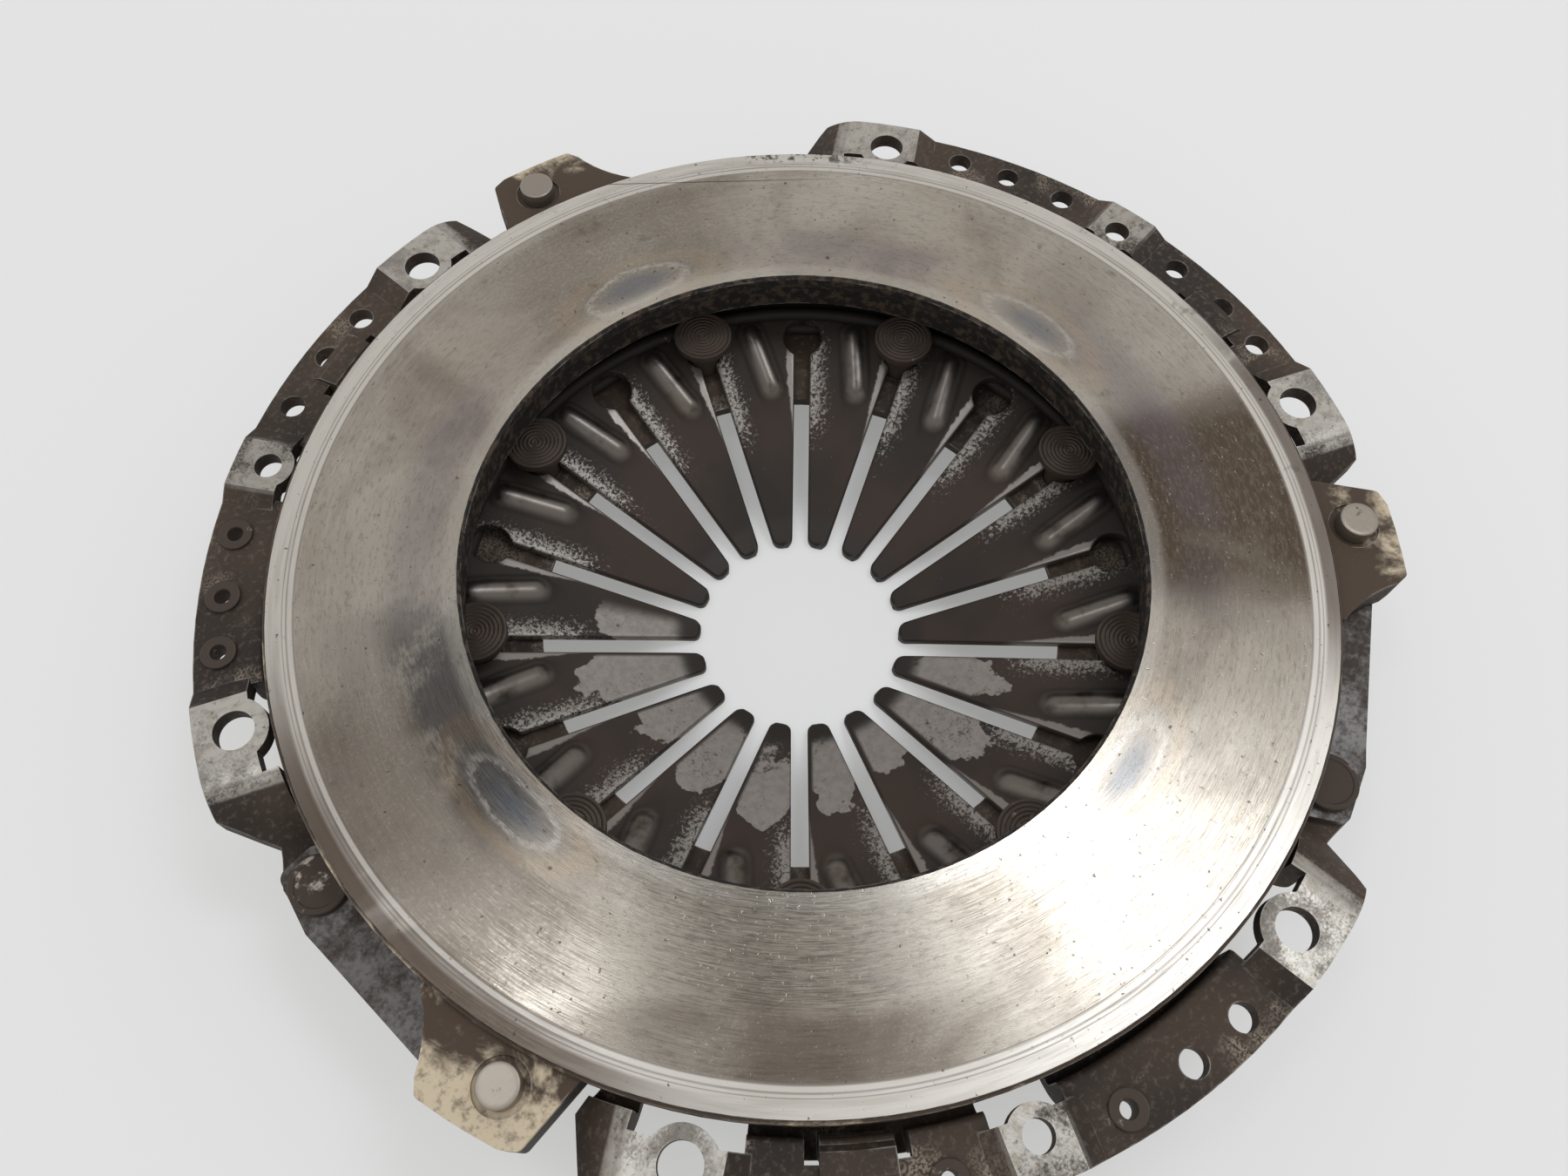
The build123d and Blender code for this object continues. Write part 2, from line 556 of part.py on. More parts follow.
def turned_rivet(steps, edge_heights):
    """Solid of revolution on +Z from (radius, low, high) steps, outer rims bevelled."""
    with BuildPart() as rivet:
        for radius, low, high in steps:
            with BuildSketch(Plane.XY.offset(low)):
                Circle(radius)
            extrude(amount=high - low)
        rims = [e for e in rivet.edges().filter_by(GeomType.CIRCLE)
                if any(abs(e.center().Z - z) < 0.01 for z in edge_heights)]
        chamfer(rims, RIVET_EDGE)
    return rivet.part


def write(shape, name):
    shape.label = name
    export_step(shape, "parts/" + name + ".step")


under_crown_z = CROWN_Z - SHEET - SEAT_GAP
spacer_top_z = SPACER_SEAT_Z + SPACER_HEAD_T
spacer = turned_rivet(((SPACER_TAIL_R, under_crown_z - SPACER_TAIL_T, under_crown_z),
                       (SPACER_SHANK_R, under_crown_z, SPACER_SEAT_Z),
                       (SPACER_HEAD_R, SPACER_SEAT_Z, spacer_top_z)),
                      (under_crown_z - SPACER_TAIL_T, spacer_top_z))
for n in range(SPACERS):
    place = polar(SPACER_AT_R, FINGER_STEP * (2 * n + 1))
    with BuildPart() as spacer_rivet:
        with Locations(Pos(*place, 0)):
            add(spacer)
    write(spacer_rivet.part, "spacer_rivet_" + str(n + 1))


# -------------------------------------------------------------- drive straps
STRAP_MID = ((LUG_RIVET[0] + COVER_RIVET[0]) / 2, (LUG_RIVET[1] + COVER_RIVET[1]) / 2)
STRAP_HALF = hypot(LUG_RIVET[0] - COVER_RIVET[0], LUG_RIVET[1] - COVER_RIVET[1]) / 2
STRAP_TURN = degrees(atan2(LUG_RIVET[1] - COVER_RIVET[1], LUG_RIVET[0] - COVER_RIVET[0]))


def leaf(number):
    """One leaf, on a straight line between its rivets, x towards the lug."""
    end = STRAP_HALF + LEAF_END
    low = LEAF_TOP_COVER_Z - number * LEAF_PITCH
    high = LEAF_TOP_LUG_Z - number * LEAF_PITCH
    half = LEAF_W / 2
    with BuildPart() as strip:
        with BuildSketch(Plane.XZ.offset(-half)):
            with BuildLine() as profile:
                Polyline((-end, low), (-LEAF_BEND_X, low), (LEAF_BEND_X, high), (end, high))
                fillet(profile.vertices().sort_by(Axis.X)[1:-1], LEAF_BEND_R)
                offset(amount=LEAF_T, side=Side.RIGHT, closed=True)
            make_face()
        extrude(amount=LEAF_W)
        with BuildSketch(Plane.XY.offset(low - LEAF_W)) as plan:
            with BuildLine():
                cut_x, cut_y = end - LEAF_CUT_X, half - LEAF_CUT_Y
                Polyline((-end, -cut_y), (-cut_x, -half), (cut_x, -half), (end, -cut_y),
                         (end, cut_y), (cut_x, half), (-cut_x, half), (-end, cut_y), close=True)
            make_face()
            fillet([v for v in plan.vertices() if abs(v.X) > end - 1], LEAF_CORNER)
            with Locations((-STRAP_HALF, 0), (STRAP_HALF, 0)):
                Circle(STRAP_SHANK_R + HOLE_GAP, mode=Mode.SUBTRACT)
        extrude(amount=2 * LEAF_W, mode=Mode.INTERSECT)
    return strip.part


def in_opening(shape, gap):
    """Move a leaf from its own straight frame into one of the strap openings."""
    angle = GAP_ANGLE + SECTOR * gap
    return Pos(*placed(STRAP_MID, angle), 0) * Rot(0, 0, angle + 90 - STRAP_TURN) * shape


leaf_low_lug_z = LEAF_TOP_LUG_Z - LEAVES * LEAF_PITCH
lug_floor_z = LUG_TOP_Z - LUG_SINK + SEAT_GAP
lug_rivet = turned_rivet(((STRAP_TAIL_R, leaf_low_lug_z - STRAP_TAIL_T, leaf_low_lug_z),
                          (STRAP_SHANK_R, leaf_low_lug_z, lug_floor_z),
                          (LUG_HEAD_R, lug_floor_z, LUG_HEAD_TOP_Z)),
                         (leaf_low_lug_z - STRAP_TAIL_T, LUG_HEAD_TOP_Z))
head_seat_z = LEAF_TOP_COVER_Z + SEAT_GAP
tail_seat_z = LEDGE_Z - SHEET - SEAT_GAP
cover_rivet = turned_rivet(((STRAP_TAIL_R, tail_seat_z - STRAP_TAIL_T, tail_seat_z),
                            (STRAP_SHANK_R, tail_seat_z, head_seat_z),
                            (STRAP_HEAD_R, head_seat_z, head_seat_z + STRAP_HEAD_T)),
                           (tail_seat_z - STRAP_TAIL_T, head_seat_z + STRAP_HEAD_T))
leaves = [leaf(n) for n in range(LEAVES)]
for k, opening in enumerate(("a", "b", "c")):
    angle = GAP_ANGLE + SECTOR * k
    for n, level in enumerate(("top", "middle", "bottom")):
        with BuildPart() as strap_leaf:
            add(in_opening(leaves[n], k))
        write(strap_leaf.part, "strap_" + opening + "_" + level + "_leaf")
    with BuildPart() as strap_lug_rivet:
        with Locations(Pos(*placed(LUG_RIVET, angle), 0)):
            add(lug_rivet)
    write(strap_lug_rivet.part, "strap_" + opening + "_lug_rivet")
    with BuildPart() as strap_cover_rivet:
        with Locations(Pos(*placed(COVER_RIVET, angle), 0)):
            add(cover_rivet)
    write(strap_cover_rivet.part, "strap_" + opening + "_cover_rivet")


# ------------------------------------------------------------ balance rivets
with BuildPart() as eyelet:
    top_z, low_z = FLANGE_Z + SEAT_GAP, FLANGE_Z - SHEET - SEAT_GAP
    with BuildSketch(Plane.XZ):
        with BuildLine():
            Polyline((EYELET_BORE_R, low_z - EYELET_LIP), (EYELET_R - EYELET_EDGE, low_z - EYELET_LIP),
                     (EYELET_R, low_z), (EYELET_TUBE_R, low_z), (EYELET_TUBE_R, top_z), (EYELET_R, top_z),
                     (EYELET_R - EYELET_EDGE, top_z + EYELET_LIP),
                     (EYELET_BORE_R + EYELET_EDGE, top_z + EYELET_LIP),
                     (EYELET_BORE_R, top_z + EYELET_LIP - EYELET_EDGE), close=True)
        make_face()
    revolve(axis=Axis.Z)
for n, (dowel, offset_angle) in enumerate(BALANCE_RIVETS):
    place = polar(BALANCE_R, SECTOR * dowel + offset_angle)
    with BuildPart() as balance_rivet:
        with Locations(Pos(*place, 0)):
            add(eyelet.part)
    write(balance_rivet.part, "balance_rivet_" + str(n + 1))
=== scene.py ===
import math
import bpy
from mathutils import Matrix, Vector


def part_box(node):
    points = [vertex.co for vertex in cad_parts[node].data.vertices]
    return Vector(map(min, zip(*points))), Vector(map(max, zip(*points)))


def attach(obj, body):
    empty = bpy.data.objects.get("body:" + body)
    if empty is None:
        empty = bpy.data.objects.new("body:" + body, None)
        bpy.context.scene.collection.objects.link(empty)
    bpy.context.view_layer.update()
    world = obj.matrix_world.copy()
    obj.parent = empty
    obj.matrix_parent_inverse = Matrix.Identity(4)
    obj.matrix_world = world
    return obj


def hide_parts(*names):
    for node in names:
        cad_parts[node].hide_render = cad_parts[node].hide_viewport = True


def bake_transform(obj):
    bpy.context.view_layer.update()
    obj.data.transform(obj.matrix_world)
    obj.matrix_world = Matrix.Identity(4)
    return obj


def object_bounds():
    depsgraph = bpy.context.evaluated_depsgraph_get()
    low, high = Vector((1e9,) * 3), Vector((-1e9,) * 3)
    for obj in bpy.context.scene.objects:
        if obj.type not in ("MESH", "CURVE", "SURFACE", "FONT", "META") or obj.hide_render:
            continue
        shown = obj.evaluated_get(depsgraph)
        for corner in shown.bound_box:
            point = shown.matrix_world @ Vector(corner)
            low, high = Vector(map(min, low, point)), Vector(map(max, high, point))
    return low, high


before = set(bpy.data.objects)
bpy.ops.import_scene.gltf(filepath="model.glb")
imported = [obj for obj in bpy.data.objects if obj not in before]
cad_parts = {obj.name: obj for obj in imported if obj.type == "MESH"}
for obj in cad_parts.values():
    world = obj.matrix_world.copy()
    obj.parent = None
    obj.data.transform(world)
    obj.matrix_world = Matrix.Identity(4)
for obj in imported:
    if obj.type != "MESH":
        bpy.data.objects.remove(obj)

from types import SimpleNamespace

import bmesh
import bpy
import numpy as np
from bpy.props import FloatProperty, FloatVectorProperty, PointerProperty
from mathutils import Vector

CAD_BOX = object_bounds()

bl_info = {
    "name": "Clutch pressure plate",
    "version": (1, 0, 0),
    "blender": (4, 5, 0),
    "location": "View3D > Sidebar > Clutch plate",
    "description": "Finishes the packed clutch pressure plate: worn iron, dusty steel, springs and rivets",
    "category": "Object",
}

# Everything is in metres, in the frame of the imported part: +Z towards the flywheel, +X through the first
# dowel hole.
MM = 0.001
MERGE = 0.002 * MM      # points nearer than this are one point
OPENINGS = ("a", "b", "c")
LEVELS = ("top", "middle", "bottom")
FINGERS = 18
FINGER_STEP = 360 / FINGERS
SPACERS = 9
BALANCE_RIVETS = 5

# The friction face lies a little under the tops of the lug rivets, and the fingertips stand on the table.
FACE_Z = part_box("strap_a_lug_rivet")[1].z - 1.3 * MM
FLOOR_Z = CAD_BOX[0].z

# Where the plate and the spring are marked, in degrees round the axis.
HEAT_SPOTS = (70.0, -2.5, -87.6, 175.5)
FILM_SIDE = 178
RIM_FILM = ((FILM_SIDE, 18, 40), (319, 14, 30))     # direction, full reach and greatest reach
VIOLET_BREATHS = ((330, 40, 92 * MM, 0.30),         # direction, reach, radius and strength
                  (30, 36, 87 * MM, 0.30),
                  (124, 44, 88 * MM, 0.40))
LUG_DUST = ((74, 0.16), (194, -0.05), (314, 0.10))  # direction of a lug, and how much dustier it is
PITTED_SIDE = 41
WIPED_SIDE = 213
HAIRLINE = ((48.1 * MM, 111.6 * MM), (99.9 * MM, 56.2 * MM))    # ends of a crack across the edge of the track

# A leaf is cut across at these shares of the way between its rivets.
LEAF_CUTS = np.linspace(0.1, 0.9, 17)

# Name, share of the key's power, side and place of each lamp.
LAMPS = (("key_lamp", 1.0, 0.22, (0.33, -0.22, 0.9)),
         ("side_lamp", 0.55, 0.16, (0.26, -0.06, 0.9)),
         ("second_lamp", 0.60, 0.15, (-0.17, 0.195, 0.92)))
LAMP_COLOUR = (0.88, 0.94, 1.0)

# The dark strip of the sky, in shares of the height above the table: middle, half width and softness
# across it, and the two softened ends along it.
STRIP_ACROSS = (0.17, 0.09, 0.09)
STRIP_NEAR = (-0.08, 0.06)
STRIP_FAR = (0.60, 0.42)
HORIZON = 0.05      # the least height that the shares are taken of


def paint(red, green, blue):
    """A colour given as it looks on a screen, over 10 and up to 255, turned into the linear light that
    shaders use: ((value / 255 + 0.055) / 1.055) to the power 2.4."""
    return tuple(((value / 255 + 0.055) / 1.055) ** 2.4 for value in (red, green, blue))


def tone(default, name, description):
    return FloatVectorProperty(name=name, description=description, subtype="COLOR", size=3, min=0, max=1,
                               default=default)


def length(default_mm, name, description):
    return FloatProperty(name=name, description=description, unit="LENGTH", default=default_mm * MM, min=0)


def height(default_mm, name, description):
    return FloatProperty(name=name, description=description, unit="LENGTH", default=default_mm * MM)


def angle(degrees, name, description):
    return FloatProperty(name=name, description=description, subtype="ANGLE", default=math.radians(degrees))


def share(default, name, description):
    return FloatProperty(name=name, description=description, subtype="FACTOR", default=default, min=0, max=1)


# ------------------------------------------------------------------ settings
class PlateFinish(bpy.types.PropertyGroup):
    """Worn friction face, rough bore and bare lugs of the pressure plate."""
    iron: tone(paint(166, 157, 145), "Iron", "Worn part of the friction face")
    iron_dark: tone(paint(100, 90, 79), "Dark iron", "Streaks and film on the friction face")
    iron_pale: tone(paint(204, 198, 190), "Pale iron", "Rings that the driven disc doesn't reach")
    straw: tone(paint(196, 160, 112), "Straw", "Lightest heat tint")
    violet: tone(paint(116, 106, 116), "Violet", "Middle heat tint")
    blue: tone(paint(98, 103, 112), "Blue", "Strongest heat tint")
    rust: tone(paint(40, 33, 28), "Rust", "Rust pits and the skin of the casting")
    bore: tone(paint(28, 24, 20), "Bore", "Wall of the bore")
    film: tone(paint(82, 68, 56), "Brown film", "Dust that the disc has smeared on the face")
    # This dark iron paints the dark reflection along the bore, and the smudges on the face.
    dark_smudge_and_reflection: tone(paint(70, 68, 68), "Burnt iron", "Dark iron along the bore")
    lug: tone(paint(206, 190, 165), "Lug", "Rubbed lug")
    lug_dust: tone(paint(78, 64, 52), "Lug dust", "Brown dust on the lugs")
    worn_radius: length(114.6, "Worn radius", "Outside radius of the track that the disc has worn")
    inner_radius: length(82.5, "Inner radius", "Inside radius of the track that the disc has worn")
    bore_radius: length(80.0, "Bore radius", "Inside this radius the casting is the bore's wall")
    rim_radius: length(118.2, "Rim radius", "Outside this radius film can cover the ring")
    lug_radius: length(121.0, "Lug radius", "Outside this radius the casting is a lug")
    bare_radius: length(130.0, "Bare radius", "Outside this radius the lugs turn bare")
    face_roughness: share(0.24, "Face roughness", "How dull the friction face is")
    casting_roughness: share(0.72, "Casting roughness", "How dull the casting is away from the face")
    turning_shine: share(0.6, "Turning shine", "How far the turning marks draw the highlights out")
    spot_radius: length(86.0, "Spot radius", "Distance of the heat spots from the axis")
    spot_length: length(12.5, "Spot length", "Half the length of a heat spot along the track")
    spot_width: length(4.4, "Spot width", "Half the width of a heat spot")


class CoverFinish(bpy.types.PropertyGroup):
    """Pressed cover: brown dust over dark steel, rubbed bright where it seats."""
    dust: tone(paint(70, 56, 45), "Dust", "Brown dust over the sheet")
    dust_dark: tone(paint(42, 33, 27), "Dark dust", "Darker patches of the dust")
    bare: tone(paint(182, 177, 169), "Bare steel", "Pads rubbed by the flywheel")
    rubbed: tone(paint(139, 127, 113), "Rubbed dust", "Mottled wear on the flange")
    dowel_pad_z: height(-0.9, "Dowel pad height", "Height of the dowel pads' tops")


class SpringFinish(bpy.types.PropertyGroup):
    """Diaphragm spring: brown dust with painted shade towards the rim, rubbed edges with a painted sheen,
    beads with a painted highlight, and wiped patches.
    """
    dust: tone(paint(57, 43, 34), "Dust", "Brown dust over the fingers")
    # Dark dust also serves as the painted shade that darkens the spring towards the rim, where it runs under
    # the plate.
    dust_dark: tone(paint(38, 30, 24), "Dark dust", "Dust near the rim")
    bare: tone(paint(170, 164, 157), "Bare steel", "Rubbed steel")
    wiped: tone(paint(138, 131, 125), "Wiped steel", "Patches that a hand has wiped")
    tip: tone(paint(50, 45, 42), "Tip", "Polished fingertips")
    # Painted shade: between these radii the dust darkens towards the rim, where the spring runs under the
    # plate.
    shade_start: length(62.0, "Dark start", "Where the dust begins to darken towards the rim")
    shade_end: length(84.0, "Dark end", "Where the dust is darkest")
    # The streak is rubbed steel and a painted sheen along the finger's low edge.
    streak_start: length(50.0, "Streak start", "Where the rubbed streak of a finger begins")
    streak_end: length(80.0, "Streak end", "Where the rubbed streak of a finger ends")
    streak_width: length(2.4, "Streak width", "Greatest width of that streak")
    scuff_radius: length(68.0, "Scuff radius", "Where the scuffs lie thickest")
    scuff_width: length(9.0, "Scuff width", "How far the scuffs reach in from a finger's edge")
    wiped_end: length(47.0, "Wiped end", "Least radius at which a wiped patch ends")
    wiped_spread: length(14.0, "Wiped spread", "How much farther out a wiped patch may end")


class SpringSizes(bpy.types.PropertyGroup):
    """Outline of the diaphragm spring."""
    thickness: length(2.6, "Thickness", "Thickness of the strip")
    rim_radius: length(106.5, "Rim radius", "Outside radius")
    rim_slope: angle(13, "Rim slope", "Slope of the rim")
    knee_radius: length(79.0, "Knee radius", "Where the rim becomes fingers")
    knee_z: height(-22.3, "Knee height", "Height of the upper face at the knee")
    tip_bend_radius: length(32.0, "Tip bend radius", "Where the fingertips bend")
    tip_bend_z: height(-40.1, "Tip bend height", "Height of the upper face at that bend")
    tip_radius: length(26.0, "Tip radius", "Radius of the hole between the fingertips")
    tip_z: height(-42.7, "Tip height", "Height of the upper face at the tips")
    tip_corner: length(2.0, "Tip corner", "Rounding of the tips seen from above")
    slot: length(4.2, "Slot", "Width of the slots between fingers")
    keyhole_at: length(80.0, "Keyhole place", "Distance of the round slot ends from the axis")
    keyhole_radius: length(5.2, "Keyhole radius", "Radius of the round slot ends")
    edge_radius: length(0.45, "Edge radius", "Rounding of the edges")
    bend_softness: length(1.2, "Bend softness", "How far the bends at the knee and the tips spread")
    bead_in: length(66.6, "Bead start", "Radius at the inner end of a bead")
    bead_out: length(81.0, "Bead end", "Radius at the outer end of a bead")
    bead_in_angle: angle(7.3, "Bead start angle", "Place of its inner end, from the slot before it")
    bead_out_angle: angle(10.1, "Bead end angle", "Place of its outer end, from the slot before it")
    bead_half: length(4.3, "Bead half width", "Half the width of a bead at its foot")
    bead_height: length(2.2, "Bead height", "Rise of a bead over the finger")


class RivetSizes(bpy.types.PropertyGroup):
    """Rivets of the spring, the straps and the flange."""
    spacer_head: length(7.7, "Spacer head", "Radius of a spacer's head")
    spacer_head_t: length(2.5, "Spacer head height", "Height of a spacer's head")
    spacer_shank: length(4.2, "Spacer shank", "Radius of a spacer's shank")
    spacer_tail: length(5.2, "Spacer tail", "Radius of a spacer's tail")
    tail_t: length(2.3, "Tail height", "Height of a rivet's tail")
    ring_pitch: length(1.0, "Ring pitch", "Distance between the turned rings of a head")
    ring_depth: length(0.3, "Ring depth", "Depth of the turned rings of a head")
    ring_margin: length(0.7, "Ring margin", "Width of a head's edge outside its turned rings")
    spacer_edge: length(0.45, "Spacer edge", "Rounding of a spacer's edges")
    edge: length(0.4, "Edge", "Rounding of the edges of the other rivets")
    lug_head: length(4.35, "Lug head", "Radius of a lug rivet's head")
    lug_head_t: length(4.05, "Lug head height", "Height of a lug rivet's head")
    strap_shank: length(3.5, "Strap shank", "Radius of a strap rivet's shank")
    strap_tail: length(5.4, "Strap tail", "Radius of a strap rivet's tail")
    cover_head: length(6.5, "Cover head", "Radius of a cover rivet's head")
    cover_head_t: length(1.9, "Cover head height", "Height of a cover rivet's head")
    cover_dish: length(0.3, "Cover dish", "Depth of the dish in a cover rivet's head")
    dish_rim: length(1.2, "Dish rim", "Width of the rim round a dish")
    dish_slope: length(0.3, "Dish slope", "Width of the slope from that rim to the dish")
    eyelet_bore: length(1.8, "Eyelet bore", "Radius of the hole of a balance rivet")
    eyelet_lip: length(4.0, "Eyelet lip", "Radius of the lip of a balance rivet")
    eyelet_tube: length(2.95, "Eyelet tube", "Outside radius of a balance rivet's tube")
    eyelet_lip_t: length(0.8, "Eyelet lip height", "Height of the lip of a balance rivet")


class StrapFinish(bpy.types.PropertyGroup):
    """Drive straps: blued strip, speckled with dust."""
    strip: tone(paint(106, 103, 101), "Strip", "Bare leaf")
    dust: tone(paint(64, 54, 47), "Dust", "Dust on the leaf")


class RivetFinish(bpy.types.PropertyGroup):
    """Rivets and wires."""
    head: tone(paint(150, 141, 130), "Head", "Clean rivet head")
    dust: tone(paint(68, 56, 48), "Dust", "Dust on a rivet head")
    # The wire is dusty, and its colour is darkened further as painted shade: the black under the plate.
    wire: tone(paint(36, 30, 26), "Wire", "Dusty fulcrum wire")


class StudioSettings(bpy.types.PropertyGroup):
    """Table, lamps, sky and camera."""
    table: tone(paint(238, 238, 237), "Table", "Table top")
    table_size: length(3000, "Table size", "Half the side of the table")
    table_glow: share(0.46, "Table glow", "How pale the table stays in the object's shade, to the eye only")
    table_dim: share(0.45, "Table dimming", "How much light the table throws back at the object")
    slot_shade: share(0.3, "Slot shade", "How much darker the table is under the slots, to the eye only")
    slot_radius: length(62.0, "Slot radius", "Middle of that ring of shade")
    sky: share(0.78, "Sky", "Strength of the light from all round")
    shade: share(0.85, "Shade", "How dark the sky is where somebody leans over the table")
    key_power: FloatProperty(name="Key power", description="Watts of the key lamp", default=1.12, min=0)
    camera_at: FloatVectorProperty(name="Camera", description="Where the camera stands",
                                   subtype="TRANSLATION", size=3, default=(-0.10661, -0.08122, 0.25295))
    camera_turn: FloatVectorProperty(name="Camera turn", description="How the camera is turned",
                                     subtype="EULER", size=3,
                                     default=tuple(math.radians(a) for a in (26.338, -0.676, -49.447)))
    lens: FloatProperty(name="Lens", description="Focal length in millimetres", default=28.372)
    sensor: FloatProperty(name="Sensor", description="Width of the sensor in millimetres", default=36)


# ----------------------------------------------------------------- materials
class Nodes:
    """Short calls that add a node to a tree and join it."""

    def add(self, kind, **settings):
        node = self.tree.nodes.new(kind)
        for key, value in settings.items():
            setattr(node, key, value)
        return node

    def put(self, socket, value):
        if isinstance(value, bpy.types.NodeSocket):
            self.tree.links.new(value, socket)
        else:
            socket.default_value = value

    def math(self, operation, *values, clamp=False):
        node = self.add("ShaderNodeMath", operation=operation, use_clamp=clamp)
        for socket, value in zip(node.inputs, values):
            self.put(socket, value)
        return node.outputs[0]

    def chain(self, operation, values):
        """One operation taken over all the values in turn."""
        total = values[0]
        for value in values[1:]:
            total = self.math(operation, total, value)
        return total

    def plus(self, *values):
        return self.chain("ADD", values)

    def minus(self, value, less):
        return self.math("SUBTRACT", value, less)

    def times(self, *values):
        return self.chain("MULTIPLY", values)

    def most(self, *values):
        return self.chain("MAXIMUM", values)

    def over(self, value, divisor):
        return self.math("DIVIDE", value, divisor)

    def distance(self, x, y):
        """How far a point (x, y) is from the origin."""
        return self.math("SQRT", self.plus(self.times(x, x), self.times(y, y)))

    def other(self, value):
        return self.math("SUBTRACT", 1.0, value, clamp=True)

    def rise(self, value, low, high):
        """0 below low and 1 above high, smooth between; a fall when low is above high."""
        node = self.add("ShaderNodeMapRange", interpolation_type="SMOOTHSTEP")
        for socket, number in zip(node.inputs, (value, min(low, high), max(low, high))):
            self.put(socket, number)
        return node.outputs[0] if low < high else self.other(node.outputs[0])

    def hump(self, value, middle, half, soft):
        """1 within half of the middle, fading to 0 over soft on either side."""
        away = self.math("ABSOLUTE", self.minus(value, middle))
        return self.rise(away, half + soft, half)

    def axes(self, vector=None):
        node = self.add("ShaderNodeSeparateXYZ")
        self.put(node.inputs[0], vector or self.place)
        return node.outputs

    def vector(self, x, y, z):
        node = self.add("ShaderNodeCombineXYZ")
        for socket, value in zip(node.inputs, (x, y, z)):
            self.put(socket, value)
        return node.outputs[0]


class Finish(Nodes):
    """One material being mixed, on the piece's own coordinates."""

    def __init__(self, name):
        self.material = bpy.data.materials.new(name)
        self.material.use_nodes = True
        self.tree = self.material.node_tree
        self.shader = self.tree.nodes["Principled BSDF"]
        self.place = self.add("ShaderNodeTexCoord").outputs["Object"]

    def radius(self):
        x, y, _ = self.axes()
        return self.distance(x, y)

    def turn(self):
        """Angle round the axis in degrees, from -180 to 180."""
        x, y, _ = self.axes()
        return self.math("DEGREES", self.math("ARCTAN2", y, x))

    def signed_angle(self, angle):
        """Degrees from a direction to a point, -180 to 180."""
        return self.math("WRAP", self.minus(self.turn(), angle), 180.0, -180.0)

    def angle_from(self, angle):
        """Degrees between a point and a direction, 0 to 180 either way."""
        return self.math("ABSOLUTE", self.signed_angle(angle))

    def noise(self, scale, detail=3.0, roughness=0.5, place=None, warp=0.0):
        node = self.add("ShaderNodeTexNoise")
        self.put(node.inputs["Vector"], place or self.place)
        settings = {"Scale": scale, "Detail": detail, "Roughness": roughness, "Distortion": warp}
        for name, value in settings.items():
            self.put(node.inputs[name], value)
        return node.outputs["Fac"]

    def ring_place(self, across, along):
        """Coordinates that run fast across the turning marks and slowly along them."""
        x, y, _ = self.axes()
        r = self.radius()
        return self.vector(self.times(self.over(x, r), along), self.times(self.over(y, r), along),
                           self.times(r, across))

    def mix(self, amount, a, b):
        """The colour a, turning to b as amount goes from 0 to 1."""
        node = self.add("ShaderNodeMix", data_type="RGBA")
        factor, first, second = node.inputs[0], node.inputs[6], node.inputs[7]
        self.put(factor, amount)
        for socket, value in ((first, a), (second, b)):
            self.put(socket, value if isinstance(value, bpy.types.NodeSocket) else (*value, 1.0))
        return node.outputs[2]

    def edge_wear(self, reach):
        """About 1 along sharp outer edges and 0 on flats."""
        rounded_off = self.add("ShaderNodeBevel", samples=4)
        self.put(rounded_off.inputs["Radius"], reach)
        flat = self.add("ShaderNodeNewGeometry")
        dot = self.add("ShaderNodeVectorMath", operation="DOT_PRODUCT")
        self.put(dot.inputs[0], rounded_off.outputs[0])
        self.put(dot.inputs[1], flat.outputs["Normal"])
        return self.rise(dot.outputs["Value"], 0.985, 0.90)

    def up(self):
        """1 on faces that look along +Z, 0 on walls and undersides."""
        node = self.add("ShaderNodeNewGeometry")
        return self.rise(self.axes(node.outputs["Normal"])[2], 0.85, 0.97)

    def line(self, x, y, start, end):
        """Distance of a point (x, y) along and across a line from its start, and the line's length."""
        run = math.dist(start, end)
        cos, sin = (end[0] - start[0]) / run, (end[1] - start[1]) / run
        dx, dy = self.minus(x, start[0]), self.minus(y, start[1])
        along = self.plus(self.times(dx, cos), self.times(dy, sin))
        across = self.math("ABSOLUTE", self.minus(self.times(dy, cos), self.times(dx, sin)))
        return along, across, run

    def mound(self, sizes):
        """1 along the tops of the spring's beads: the same line as bead_height, in each finger's own turn."""
        turned_by = self.math("RADIANS", self.math("FLOORED_MODULO", self.turn(), FINGER_STEP))
        r = self.radius()
        along, across, run = self.line(self.times(r, self.math("COSINE", turned_by)),
                                       self.times(r, self.math("SINE", turned_by)), *bead_ends(sizes))
        beyond = self.most(self.minus(0.0, along), self.minus(along, run), 0.0)
        away = self.distance(across, beyond)
        return self.rise(away, sizes.bead_half - 0.2 * MM, sizes.bead_half - 2.4 * MM)

    def bump(self, height, distance, strength=1.0):
        node = self.add("ShaderNodeBump")
        for name, value in (("Height", height), ("Distance", distance), ("Strength", strength)):
            self.put(node.inputs[name], value)
        return node.outputs[0]

    def finish(self, colour, roughness, metallic, normal=None):
        """Join a mixed colour, a roughness, a share of metal and a normal to the shader."""
        for name, value in (("Base Color", colour), ("Roughness", roughness), ("Metallic", metallic)):
            self.put(self.shader.inputs[name], value)
        if normal is not None:
            self.put(self.shader.inputs["Normal"], normal)
        return self.material


